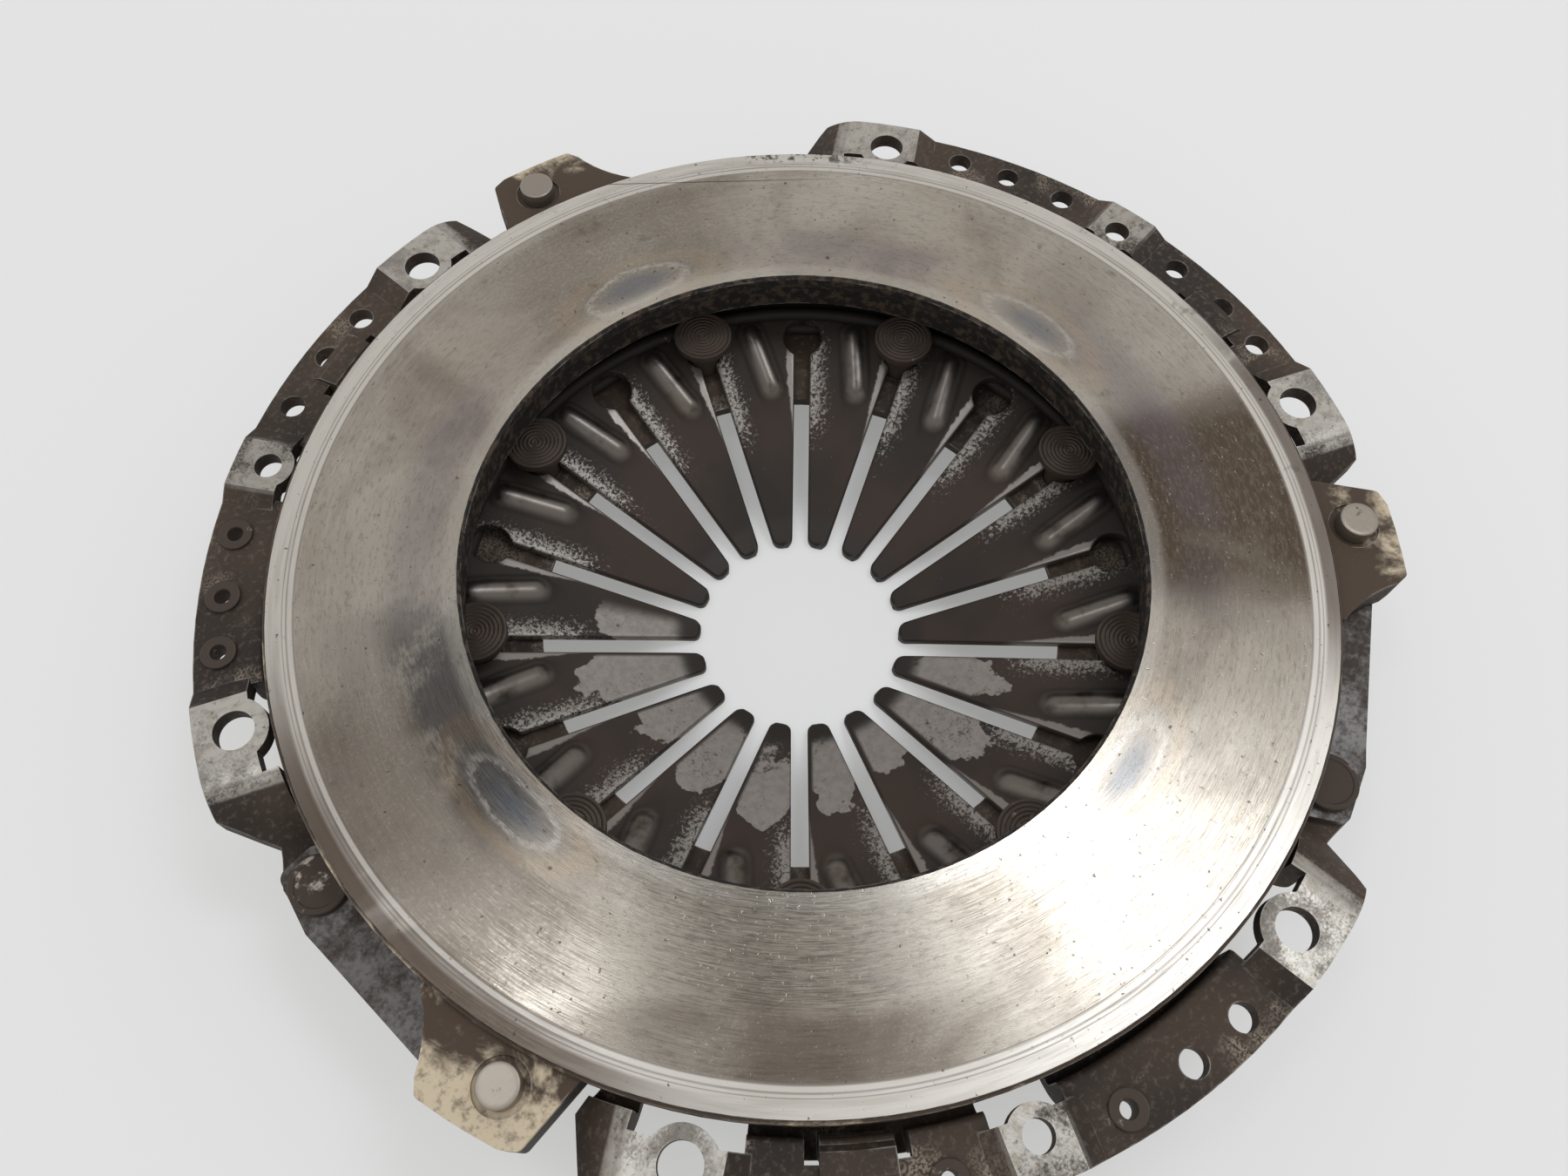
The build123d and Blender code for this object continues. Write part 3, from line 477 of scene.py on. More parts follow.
class Sky(Nodes):
    """The light from all round: pale, but for a dark strip high up where somebody leans over the table."""

    def __init__(self, name):
        self.world = bpy.data.worlds.new(name)
        self.world.use_nodes = True
        self.tree = self.world.node_tree
        self.place = self.add("ShaderNodeTexCoord").outputs["Generated"]

    def finish(self, strength, shade):
        """The world at a strength. A direction's place in the sky is its (x, y) over its height, as on a
        ceiling."""
        x, y, z = self.axes()
        high = self.most(z, HORIZON)
        across, along = self.over(x, high), self.over(y, high)
        dark = self.times(self.hump(across, *STRIP_ACROSS), self.rise(along, *STRIP_NEAR),
                          self.rise(along, *STRIP_FAR), shade)
        background = self.tree.nodes["Background"]
        background.inputs["Color"].default_value = (1.0, 1.0, 0.99, 1.0)
        self.put(background.inputs["Strength"], self.times(self.other(dark), strength))
        return self.world


def dust_smears(look):
    """Smears of brown dust on the friction face: direction, full and greatest reach to either side in
    degrees, radius, half width, softness and strength."""
    middle = (look.worn_radius + look.inner_radius) / 2
    return ((172, 12, 36, 107 * MM, 12 * MM, 8 * MM, 0.55),
            (319, 9, 22, middle, 17 * MM, 6 * MM, 0.95),
            (221, 8, 22, look.worn_radius - 5 * MM, 5 * MM, 6 * MM, 0.6),
            (71, 8, 36, middle, 12 * MM, 8 * MM, 0.5))


def dark_reflection_patches(look):
    """Patches of painted dark reflection along the bore, given in the same way."""
    return ((161, 10, 26, look.inner_radius + 5 * MM, 4 * MM, 8 * MM, 0.8),
            (319, 10, 22, look.inner_radius + 3 * MM, 5 * MM, 8 * MM, 0.9))


def patches(f, r, places):
    """The strongest of some patches on the face, given as dust_smears gives them."""
    return f.most(*(f.times(f.rise(f.angle_from(middle), reach, full), f.hump(r, place, half, soft), strength)
                    for middle, full, reach, place, half, soft, strength in places))


def face_noises(f):
    """What the friction face is mixed from: marks that are fine across the track and long along it, clouds
    of two sizes, and crumbs of dust."""
    return SimpleNamespace(fine=f.noise(1.0, 4, 0.65, f.ring_place(5200, 14)),
                           coarse=f.noise(1.0, 3, 0.55, f.ring_place(700, 6)),
                           streaks=f.noise(1.0, 5, 0.7, f.ring_place(1500, 45), warp=0.3),
                           cloud=f.noise(30, 4, 0.6, warp=0.6),
                           wide_cloud=f.noise(12, 3, 0.5),
                           crumb=f.noise(1300, 3, 0.65))


def brown_film(f, look, r, n):
    """How thick the smeared dust lies, half of it even and half broken into crumbs."""
    clouds = f.rise(f.plus(f.times(n.wide_cloud, 0.6), f.times(n.cloud, 0.4)), 0.28, 0.50)
    film = f.times(clouds, patches(f, r, dust_smears(look)))
    crumbs = f.times(f.minus(n.crumb, 0.5), 1.1)
    return f.plus(f.times(film, 0.5), f.times(f.rise(f.plus(film, crumbs), 0.25, 0.6), film, 0.5))


def track_iron(f, look, r, n, film):
    """Colour of the worn track: clouded iron with turning marks that show more towards the edge, darkened
    along the bore by patches of painted dark reflection, under brown film and breaths of violet."""
    iron = f.mix(f.times(f.rise(n.cloud, 0.40, 0.68), 0.5), look.iron, look.iron_dark)
    iron = f.mix(f.times(f.rise(n.wide_cloud, 0.42, 0.66), 0.35), iron, look.iron_pale)
    near_edge = f.plus(0.35, f.times(f.rise(r, 100 * MM, 114 * MM), 0.65))
    iron = f.mix(f.times(f.rise(n.coarse, 0.42, 0.74), near_edge, 0.22), iron, look.iron_pale)
    iron = f.mix(f.times(f.rise(n.fine, 0.50, 0.7), near_edge, 0.24), iron, look.iron_dark)
    # painted dark reflection: dark patches along the bore
    dark_smudge_and_reflection = f.times(patches(f, r, dark_reflection_patches(look)),
                    f.rise(f.plus(n.cloud, f.times(n.streaks, 0.3)), 0.45, 0.66))
    iron = f.mix(dark_smudge_and_reflection, iron, look.dark_smudge_and_reflection)
    smeared = f.mix(f.rise(n.streaks, 0.44, 0.64), look.film, look.iron_dark)
    iron = f.mix(film, iron, smeared)
    iron = f.mix(f.times(f.rise(n.streaks, 0.50, 0.66), 0.36), iron, look.iron_dark)
    glints = f.rise(f.plus(n.crumb, f.times(n.streaks, 0.5)), 0.88, 1.0)
    iron = f.mix(f.times(glints, film, 0.5), iron, look.iron_pale)
    for middle, reach, place, strength in VIOLET_BREATHS:
        breath = f.times(f.rise(f.angle_from(middle), reach, 4), f.hump(r, place, 2 * MM, 7 * MM),
                         f.rise(n.cloud, 0.3, 0.6), strength)
        iron = f.mix(breath, iron, look.violet)
    inner = f.rise(r, look.inner_radius + 0.6 * MM, look.inner_radius - 1.6 * MM)
    return f.mix(f.times(inner, 0.25), iron, look.iron_pale)


def heat_spots(f, look, r, n, iron):
    """The iron with faint grey-blue ovals, each with a thin pale border and a straw breath outside.

    The distance from a spot is the root of (along over its half length) squared plus (outwards over its
    half width) squared, made uneven by the clouds and streaks.
    """
    for spot in HEAT_SPOTS:
        along = f.times(f.math("RADIANS", f.signed_angle(spot)), r)
        outwards = f.minus(r, look.spot_radius)
        away = f.distance(f.over(along, look.spot_length), f.over(outwards, look.spot_width))
        away = f.plus(away, f.times(f.minus(n.cloud, 0.5), 1.2))
        away = f.plus(away, f.times(f.minus(n.streaks, 0.5), 0.5))
        border = f.times(f.hump(away, 1.12, 0.04, 0.14), f.rise(n.streaks, 0.35, 0.65), 0.5)
        iron = f.mix(f.times(f.hump(away, 1.7, 0.12, 0.35), 0.10), iron, look.straw)
        iron = f.mix(border, iron, look.iron_pale)
        iron = f.mix(f.times(f.rise(away, 1.02, 0.35), 0.55), iron, look.blue)
    return iron


def outer_rings(f, look, r, n):
    """Colour of the rings outside the track, which the disc doesn't reach: pale, with film on two sides
    and a bright line next to the track."""
    outer = f.mix(f.times(f.rise(n.coarse, 0.4, 0.7), 0.4), look.iron_pale, look.iron)
    ring_film = f.times(f.rise(f.angle_from(FILM_SIDE), 30, 12), f.rise(n.cloud, 0.3, 0.5), 0.65)
    outer = f.mix(ring_film, outer, look.film)
    rim_sides = f.most(*(f.rise(f.angle_from(angle), reach, full) for angle, full, reach in RIM_FILM))
    rim_film = f.times(rim_sides, f.rise(r, look.rim_radius - 1.0 * MM, look.rim_radius),
                       f.rise(n.cloud, 0.25, 0.45))
    outer = f.mix(f.times(rim_film, 0.75), outer, look.film)
    bright_line = f.hump(r, look.worn_radius + 0.8 * MM, 0.35 * MM, 0.3 * MM)
    return f.mix(f.times(bright_line, 0.6), outer, look.iron_pale)


def face_grooves(f, look, r):
    """1 in the fine grooves where the outer rings meet the track."""
    return f.most(f.hump(r, look.worn_radius, 0.12 * MM, 0.2 * MM),
                  f.hump(r, look.worn_radius + 1.5 * MM, 0.1 * MM, 0.2 * MM),
                  f.hump(r, look.worn_radius + 2.4 * MM, 0.05 * MM, 0.15 * MM))


def face_pits(f, x, y):
    """1 in the rust pits, in streaks of pits along the turning marks, and in the hairline crack."""
    spread = f.rise(f.noise(650, 2, 0.5), 0.69, 0.76)
    strung = f.times(f.rise(f.noise(1.0, 3, 0.6, f.ring_place(900, 130)), 0.66, 0.74), 0.7)
    along, across, run = f.line(x, y, *HAIRLINE)
    crack = f.times(f.rise(across, 0.22 * MM, 0.08 * MM), f.rise(along, 0, 2 * MM),
                    f.rise(along, run, 0.4 * run))
    return f.most(spread, strung, crack)


def face_colour(f, look, r, n, marks):
    """Colour of the friction face: the track inside the outer rings, with grooves, rust and smudges."""
    iron = heat_spots(f, look, r, n, track_iron(f, look, r, n, marks.film))
    colour = f.mix(marks.worn, outer_rings(f, look, r, n), iron)
    colour = f.mix(f.times(marks.grooves, 0.45), colour, look.iron_dark)
    rotten = f.times(f.rise(f.angle_from(PITTED_SIDE), 11, 4),
                     f.rise(r, look.rim_radius - 1.2 * MM, look.rim_radius + 0.8 * MM),
                     f.rise(f.noise(330, 4, 0.7), 0.50, 0.58))
    colour = f.mix(f.times(rotten, 0.8), colour, look.rust)
    smudges = f.times(f.rise(f.noise(150, 4, 0.65), 0.62, 0.72), f.rise(n.wide_cloud, 0.40, 0.6))
    colour = f.mix(f.times(smudges, 0.4), colour, look.dark_smudge_and_reflection)
    return f.mix(f.times(marks.pits, 0.7), colour, look.rust)


def casting_colour(f, look, r, z, grain):
    """Colour away from the face: cast skin, lugs that are rubbed bare towards their ends, a rusty bore, and
    some of the edges worn pale."""
    skin = f.mix(f.rise(grain, 0.35, 0.7), look.rust, look.lug_dust)
    skin = f.mix(f.times(f.rise(grain, 0.5, 0.62), 0.6), look.rust, skin)
    barer_outwards = f.times(f.minus(r, look.bare_radius), 14.0)
    bare = f.plus(f.noise(60, 5, 0.66, warp=0.4), barer_outwards)
    for angle, dustier in LUG_DUST:
        bare = f.minus(bare, f.times(f.rise(f.angle_from(angle), 45, 25), dustier))
    lug = f.mix(f.rise(bare, 0.42, 0.58), look.lug_dust, look.lug)
    lug = f.mix(f.times(f.rise(f.noise(420, 6, 0.68), 0.46, 0.70), 0.7), lug, look.lug_dust)
    lug_top = f.times(f.rise(r, look.lug_radius - 0.5 * MM, look.lug_radius + 0.5 * MM),
                      f.rise(z, 0.5 * MM, 1.2 * MM))
    colour = f.mix(lug_top, skin, lug)
    bore = f.rise(r, look.bore_radius + 0.5 * MM, look.bore_radius - 0.5 * MM)
    flakes = f.rise(f.noise(420, 4, 0.65), 0.48, 0.60)
    colour = f.mix(bore, colour, f.mix(f.times(flakes, 0.8), look.bore, look.lug_dust))
    worn_edge = f.times(f.edge_wear(0.5 * MM), f.rise(f.noise(140, 4, 0.65), 0.44, 0.62), 0.5)
    return f.mix(worn_edge, colour, look.iron_pale)


def plate_finish(look):
    """Iron casting: the turned and worn friction face, the rough bore, the rim and the lugs."""
    f = Finish("worn_friction_iron")
    r = f.radius()
    x, y, z = f.axes()
    n = face_noises(f)
    grain = f.noise(900, 3, 0.6)
    face = f.times(f.up(), f.rise(z, FACE_Z - 1.0 * MM, FACE_Z - 0.3 * MM))
    marks = SimpleNamespace(worn=f.rise(r, look.worn_radius + 0.5 * MM, look.worn_radius - 0.5 * MM),
                            film=brown_film(f, look, r, n), grooves=face_grooves(f, look, r),
                            pits=face_pits(f, x, y))
    colour = f.mix(face, casting_colour(f, look, r, z, grain), face_colour(f, look, r, n, marks))

    dull = f.plus(f.times(f.rise(n.fine, 0.3, 0.75), 0.16), look.face_roughness - 0.06,
                  f.times(marks.film, 0.14), f.times(f.other(marks.worn), 0.14))
    roughness = f.plus(f.times(face, dull), f.times(f.other(face), look.casting_roughness))
    metallic = f.plus(0.35, f.times(face, 0.62))

    turning = f.plus(f.times(n.fine, 0.5), n.coarse)
    turning = f.minus(turning, f.times(marks.grooves, 2.0))
    turning = f.minus(turning, f.times(marks.pits, 2.5))
    height = f.plus(f.times(turning, face, 0.02), f.times(grain, f.other(face), 0.35))
    material = f.finish(colour, roughness, metallic, f.bump(height, 0.5 * MM))
    f.shader.inputs["Anisotropic"].default_value = look.turning_shine
    f.put(f.shader.inputs["Tangent"], f.vector(x, y, 0.0))
    return material


def cover_finish(look):
    """Pressed sheet: brown dust, rubbed grey on the pads, scuffed on the flange, pale on its edges."""
    f = Finish("dusty_pressed_steel")
    z = f.axes()[2]
    grain = f.noise(700, 4, 0.65)
    speck = f.noise(1700, 2, 0.6)
    patch = f.noise(60, 5, 0.62, warp=0.3)
    scratch = f.noise(1.0, 3, 0.6, f.ring_place(300, 60))
    dust = f.mix(f.rise(f.noise(24, 3, 0.5), 0.35, 0.65), look.dust, look.dust_dark)
    dust = f.mix(f.times(f.rise(grain, 0.5, 0.72), 0.25), dust, look.rubbed)
    scuffed = f.times(f.up(), f.rise(patch, 0.53, 0.66), f.rise(speck, 0.42, 0.56))
    colour = f.mix(f.times(scuffed, 0.8), dust, look.rubbed)

    # the bolt pads' tops are at z = 0, and the dowel pads stand a little lower
    bolt_pad = f.times(f.up(), f.rise(z, -0.7 * MM, -0.25 * MM))
    dowel_pad = f.times(f.up(), f.hump(z, look.dowel_pad_z, 0.25 * MM, 0.3 * MM))
    rubbed = f.rise(f.plus(patch, f.times(speck, 0.3)), 0.50, 0.70)
    bare = f.mix(f.times(f.rise(scratch, 0.42, 0.68), 0.55), look.bare, look.rubbed)
    bare = f.mix(f.times(f.rise(grain, 0.56, 0.68), 0.6), bare, look.dust)
    colour = f.mix(f.times(bolt_pad, f.plus(0.5, f.times(rubbed, 0.5))), colour, bare)
    colour = f.mix(f.times(dowel_pad, rubbed, 0.8), colour, bare)
    worn_edge = f.times(f.edge_wear(0.5 * MM), f.rise(f.noise(160, 3, 0.6), 0.40, 0.6), 0.65)
    colour = f.mix(worn_edge, colour, look.bare)
    shine = f.most(f.times(bolt_pad, rubbed), f.times(dowel_pad, rubbed), worn_edge, f.times(scuffed, 0.5))
    roughness = f.minus(0.72, f.times(shine, 0.34))
    metallic = f.plus(0.25, f.times(shine, 0.65))
    height = f.plus(f.times(grain, 0.4), f.times(speck, 0.25))
    return f.finish(colour, roughness, metallic, f.bump(height, 0.12 * MM, 0.8))


def finger_place(f, r, slot):
    """The number of the finger that a point is on, its place across that finger from 0 to 1, and its
    distances from the slots on either side.

    At a radius, a slot's middle is half a finger's angle times the radius from the finger's middle.
    """
    turns = f.over(f.plus(f.turn(), 360.0), FINGER_STEP)
    across = f.math("FRACT", turns)
    half = f.times(f.math("RADIANS", FINGER_STEP / 2), r)
    from_low = f.minus(f.times(across, 2.0, half), slot / 2)
    from_high = f.minus(f.times(f.other(across), 2.0, half), slot / 2)
    return f.math("FLOOR", turns), across, from_low, from_high


def spring_noises(f):
    """What the spring is mixed from: grains of two sizes, patches and lobes."""
    return SimpleNamespace(speck=f.noise(1200, 6, 0.72, warp=0.6), grain=f.noise(520, 4, 0.6),
                           patch=f.noise(45, 4, 0.6, warp=0.5), lobes=f.noise(160, 3, 0.55))


def rubbed_streak_and_sheen(f, look, r, n, from_low):
    """1 on a streak along a finger's low edge, which widens from a point towards the root: rubbed steel with
    a painted sheen of the edge.
    """
    full_width = look.streak_start + 26 * MM
    width = f.times(f.rise(r, look.streak_start, full_width), look.streak_width)
    streak = f.rise(f.minus(from_low, f.times(width, f.plus(n.grain, 0.5))), 0.3 * MM, -0.3 * MM)
    return f.times(streak, f.rise(r, look.streak_start, look.streak_start + 6 * MM),
                   f.rise(r, look.streak_end, look.streak_end - 6 * MM))


def finger_scuffs(f, look, r, n, from_high):
    """1 on scuffs along a finger's high edge, which thin out towards its middle."""
    near = f.rise(from_high, look.scuff_width, 0.5 * MM)
    thick = f.times(near, f.hump(r, look.scuff_radius, 6 * MM, 18 * MM), 0.24)
    return f.times(f.rise(f.plus(n.speck, thick), 0.66, 0.74), f.plus(0.35, f.times(near, 0.55)))


def wiped_patch(f, look, sizes, r, n, place):
    """1 on a patch of each finger of one side, where a hand has wiped the dust away.

    It ends at wiped_end plus a share of wiped_spread, drawn anew for each finger, less the square of the
    distance across from the finger's middle, so that its outer end is round, and is made uneven by the lobes.
    """
    finger, across, from_low, _ = place
    luck = f.add("ShaderNodeTexWhiteNoise", noise_dimensions="1D")
    f.put(luck.inputs["W"], finger)
    middle = f.minus(across, 0.5)
    end = f.plus(look.wiped_end, f.times(luck.outputs["Value"], look.wiped_spread))
    end = f.minus(end, f.times(middle, middle, 50 * MM))
    end = f.plus(end, f.times(f.minus(n.lobes, 0.5), 16 * MM))
    return f.times(f.rise(f.angle_from(WIPED_SIDE), 88, 82), f.rise(f.minus(end, r), -0.3 * MM, 0.3 * MM),
                   f.rise(r, sizes.tip_radius + 3 * MM, sizes.tip_radius + 7 * MM),
                   f.rise(from_low, 0.6 * MM, 1.6 * MM),
                   f.rise(f.plus(n.patch, f.times(n.grain, 0.35)), 0.46, 0.54))


def spring_finish(look, sizes):
    """Spring fingers: brown dust, darker towards the rim as painted shade, one edge rubbed bright with a
    painted sheen, bead tops rubbed pale with a painted highlight, roots scuffed, some fingers wiped.
    """
    f = Finish("dusty_spring_steel")
    r = f.radius()
    place = finger_place(f, r, sizes.slot)
    _, _, from_low, from_high = place
    n = spring_noises(f)
    streak = rubbed_streak_and_sheen(f, look, r, n, from_low)
    scuffs = finger_scuffs(f, look, r, n, from_high)
    sparse = f.times(f.rise(n.speck, 0.70, 0.76), 0.4)
    bead = f.mound(sizes)
    wiped = wiped_patch(f, look, sizes, r, n, place)
    tip = f.rise(r, sizes.tip_bend_radius + 2 * MM, sizes.tip_bend_radius - 2 * MM)
    by_edge = f.most(f.rise(from_low, 1.5 * MM, 0.8 * MM), f.rise(from_high, 1.5 * MM, 0.8 * MM),
                     f.rise(r, sizes.keyhole_at - 8 * MM, sizes.keyhole_at - 6 * MM), tip)

    dust = f.mix(f.rise(f.noise(30, 3, 0.5), 0.35, 0.68), look.dust, look.dust_dark)
    # painted shade: darker towards the rim, where the spring runs under the plate
    dust = f.mix(f.rise(r, look.shade_start, look.shade_end), dust, look.dust_dark)
    wiped_tone = f.mix(f.rise(f.plus(n.speck, f.times(n.patch, 0.5)), 0.94, 0.86), look.dust, look.wiped)
    wiped_tone = f.mix(f.times(f.rise(n.grain, 0.35, 0.65), 0.35), wiped_tone, look.bare)
    colour = f.mix(f.times(wiped, 0.92), dust, wiped_tone)
    # rubbed steel, with a painted sheen along the low edge
    colour = f.mix(f.times(streak, 0.8), colour, look.wiped)
    colour = f.mix(f.most(f.times(scuffs, 0.72), sparse), colour, look.bare)
    # bead tops paled: partly rubbed steel, partly a painted highlight
    colour = f.mix(f.times(bead, f.rise(n.lobes, 0.2, 0.55), 0.5), colour, look.wiped)
    colour = f.mix(f.times(tip, 0.8), colour, look.tip)
    colour = f.mix(f.times(f.edge_wear(0.35 * MM), by_edge, 0.25), colour, look.wiped)

    shine = f.most(f.times(scuffs, 0.8), f.times(streak, 0.9), f.times(wiped, 0.55), f.times(tip, 0.6), bead)
    roughness = f.minus(0.70, f.times(shine, 0.38))
    metallic = f.plus(0.12, f.times(shine, 0.78))
    height = f.times(f.plus(f.times(n.grain, 0.4), f.times(n.speck, 0.3)), f.minus(1.0, f.times(bead, 0.8)))
    return f.finish(colour, roughness, metallic, f.bump(height, 0.10 * MM, 0.8))


def strap_finish(look):
    """Strap leaves: bluish strip under a speckle of dust."""
    f = Finish("speckled_strip")
    speck = f.noise(900, 3, 0.7)
    patch = f.noise(90, 4, 0.6)
    dusty = f.rise(f.plus(f.times(speck, 0.35), f.times(patch, 0.65)), 0.40, 0.60)
    colour = f.mix(dusty, look.strip, look.dust)
    roughness = f.plus(0.42, f.times(dusty, 0.3))
    metallic = f.minus(0.85, f.times(dusty, 0.6))
    return f.finish(colour, roughness, metallic, f.bump(speck, 0.08 * MM, 0.8))


def rivet_finish(look, name, dusty_share, dust):
    """Turned steel of a rivet, with dust in patches; dusty_share is how much of it the dust covers."""
    f = Finish(name)
    grain = f.noise(800, 4, 0.6)
    patch = f.noise(150, 4, 0.6)
    least = 0.85 - dusty_share / 2
    dusty = f.rise(f.plus(patch, f.times(grain, 0.3)), least, least + 0.1)
    colour = f.mix(dusty, look.head, dust)
    colour = f.mix(f.times(f.edge_wear(0.4 * MM), 0.8, f.rise(patch, 0.35, 0.55)), colour, look.head)
    roughness = f.plus(0.36, f.times(dusty, 0.32))
    metallic = f.minus(0.85, f.times(dusty, 0.5))
    return f.finish(colour, roughness, metallic, f.bump(grain, 0.06 * MM, 0.7))


def dress(node, material):
    """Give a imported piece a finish, in place of its plain one."""
    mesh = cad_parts[node].data
    mesh.materials.clear()
    mesh.materials.append(material)


# ------------------------------------------------------------------- shapes
def as_piece(name, points, faces, body, node, slot, material):
    """A new piece from arrays of points and faces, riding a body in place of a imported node."""
    mesh = bpy.data.meshes.new(name)
    mesh.from_pydata(points.tolist(), [], faces.tolist())
    joined = bmesh.new()
    joined.from_mesh(mesh)
    bmesh.ops.remove_doubles(joined, verts=joined.verts, dist=MERGE)
    bmesh.ops.dissolve_degenerate(joined, edges=joined.edges, dist=MERGE / 2)
    bmesh.ops.recalc_face_normals(joined, faces=joined.faces)
    joined.to_mesh(mesh)
    joined.free()
    mesh.materials.append(material)
    mesh.shade_smooth()
    piece = bpy.data.objects.new(name, mesh)
    bpy.context.scene.collection.objects.link(piece)
    if body:
        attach(piece, body)
    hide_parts(node)
    return piece


def grid_faces(rows, columns, first=0, close_rows=False, close_columns=False):
    """Corner numbers of the quads of a grid of rows by columns, which may close on itself.

    A corner's number is its row times the columns, plus its column, counted on from first.
    """
    i = np.arange(rows if close_rows else rows - 1)[:, None]
    j = np.arange(columns if close_columns else columns - 1)[None, :]
    i_next, j_next = (i + 1) % rows, (j + 1) % columns
    quads = np.stack(np.broadcast_arrays(i * columns + j, i * columns + j_next,
                                         i_next * columns + j_next, i_next * columns + j), axis=-1)
    return quads.reshape(-1, 4) + first


def rounded(points, radius, steps=5):
    """An outline of (radius, height) points with each inner corner turned into an arc, unless the line runs
    nearly straight through it.

    The arc of a corner touches both of its sides, at radius / tan(half of the angle between them), but takes
    up no more than most_of_side of either. Its points swing evenly from the first touching point to the
    second: (sin((1 - t) * swing) * start + sin(t * swing) * end) / sin(swing).
    """
    straight, most_of_side = 1.5, 0.45
    points = np.array(points, float)
    out = [points[0]]
    for before, corner, after in zip(points[:-2], points[1:-1], points[2:]):
        back, ahead = before - corner, after - corner
        long_back, long_ahead = np.hypot(*back), np.hypot(*ahead)
        back, ahead = back / long_back, ahead / long_ahead
        half = np.arccos(np.clip(back @ ahead, -1, 1)) / 2
        if half > straight:
            out.append(corner)
            continue
        cut = min(radius / np.tan(half), most_of_side * long_back, most_of_side * long_ahead)
        arc = cut * np.tan(half)
        middle = corner + (back + ahead) / np.linalg.norm(back + ahead) * np.hypot(cut, arc)
        start, end = corner + back * cut - middle, corner + ahead * cut - middle
        turn = np.linspace(0, 1, steps)[:, None]
        swing = np.pi - 2 * half
        arc_points = (np.sin((1 - turn) * swing) * start + np.sin(turn * swing) * end) / np.sin(swing)
        out.extend(middle + arc_points)
    out.append(points[-1])
    return np.array(out)


def turned(profile, centre, steps=64, closed=False):
    """Points and faces of an outline of (radius, height) turned about an upright axis.

    Each outline point goes round as (x, y) = centre + radius * (cos, sin) of the turn. A closed outline
    is joined from its last point to its first.
    """
    profile = np.array(profile, float)
    angle = np.linspace(0, 2 * np.pi, steps, endpoint=False)
    x = centre[0] + profile[:, :1] * np.cos(angle)
    y = centre[1] + profile[:, :1] * np.sin(angle)
    z = np.broadcast_to(profile[:, 1:], x.shape)
    points = np.stack((x, y, z), axis=-1).reshape(-1, 3)
    return points, grid_faces(len(profile), steps, close_rows=closed, close_columns=True)


def spacer_outline(low, high, s):
    """Spacer rivet: a head with turned rings (a cosine of the radius), a shank and an upset tail."""
    edge = s.spacer_head - s.ring_margin
    r = np.linspace(0, edge, 44)
    sunk = s.ring_depth * (0.5 - 0.5 * np.cos(2 * np.pi * r / s.ring_pitch))
    rings = np.stack((r, high - sunk), axis=-1)
    seat = high - s.spacer_head_t
    rest = rounded([(edge, high), (s.spacer_head, high), (s.spacer_head, seat), (s.spacer_shank, seat),
                    (s.spacer_shank, low + s.tail_t), (s.spacer_tail, low + s.tail_t), (s.spacer_tail, low),
                    (0, low)], s.spacer_edge)
    return np.concatenate((rings, rest))


def strap_rivet_outline(low, high, head, head_t, s, dish):
    """Strap rivet: a head, dished inside its rim where the set has struck it, a shank and an upset tail."""
    seat, rim = high - head_t, head - s.dish_rim
    return rounded([(0, high - dish), (rim - s.dish_slope, high - dish), (rim, high), (head, high),
                    (head, seat), (s.strap_shank, seat), (s.strap_shank, low + s.tail_t),
                    (s.strap_tail, low + s.tail_t), (s.strap_tail, low), (0, low)], s.edge)


def eyelet_outline(low, high, s):
    """Hollow rivet: a tube with a rolled lip at each end."""
    bore, lip, tube = s.eyelet_bore, s.eyelet_lip, s.eyelet_tube
    top, bottom, middle = high - s.eyelet_lip_t, low + s.eyelet_lip_t, (low + high) / 2
    outline = rounded([(bore, middle), (bore, high), (lip, high), (lip, top), (tube, top), (tube, bottom),
                       (lip, bottom), (lip, low), (bore, low), (bore, middle)], s.edge)
    return outline[:-1]


def bending_leaf(name, node, start, end, material):
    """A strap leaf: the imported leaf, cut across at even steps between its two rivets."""
    cut = bmesh.new()
    cut.from_mesh(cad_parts[node].data)
    bmesh.ops.remove_doubles(cut, verts=cut.verts, dist=MERGE)
    along = (end - start).normalized()
    for share_along in LEAF_CUTS:
        bmesh.ops.bisect_plane(cut, geom=cut.verts[:] + cut.edges[:] + cut.faces[:], dist=MERGE / 2,
                               plane_co=start.lerp(end, share_along), plane_no=along)
    mesh = bpy.data.meshes.new(name)
    cut.to_mesh(mesh)
    cut.free()
    mesh.materials.clear()
    mesh.materials.append(material)
    leaf = bpy.data.objects.new(name, mesh)
    bpy.context.scene.collection.objects.link(leaf)
    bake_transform(leaf)
    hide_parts(node)


def middle_of(node):
    """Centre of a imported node's box, across the axis."""
    low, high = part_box(node)
    return (low.x + high.x) / 2, (low.y + high.y) / 2


def bent(r, corner, slope_in, slope_out, soften):
    """Height change of a line that bends at a corner: the mean slope plus half the change of slope times
    the root of (distance squared + soften squared)."""
    away = r - corner
    return (slope_in + slope_out) / 2 * away + (slope_out - slope_in) / 2 * (np.hypot(away, soften) - soften)


def spring_top(r, s):
    """Height of the spring's upper face at a radius: the rim, the knee, the finger and the bent tip."""
    finger = (s.knee_z - s.tip_bend_z) / (s.knee_radius - s.tip_bend_radius)
    tip = (s.tip_bend_z - s.tip_z) / (s.tip_bend_radius - s.tip_radius)
    rim = math.tan(s.rim_slope)
    at_knee = bent(r, s.knee_radius, finger, rim, s.bend_softness)
    at_tip = bent(r, s.tip_bend_radius, tip, finger, s.bend_softness) - finger * (r - s.tip_bend_radius)
    return s.knee_z + at_knee + at_tip


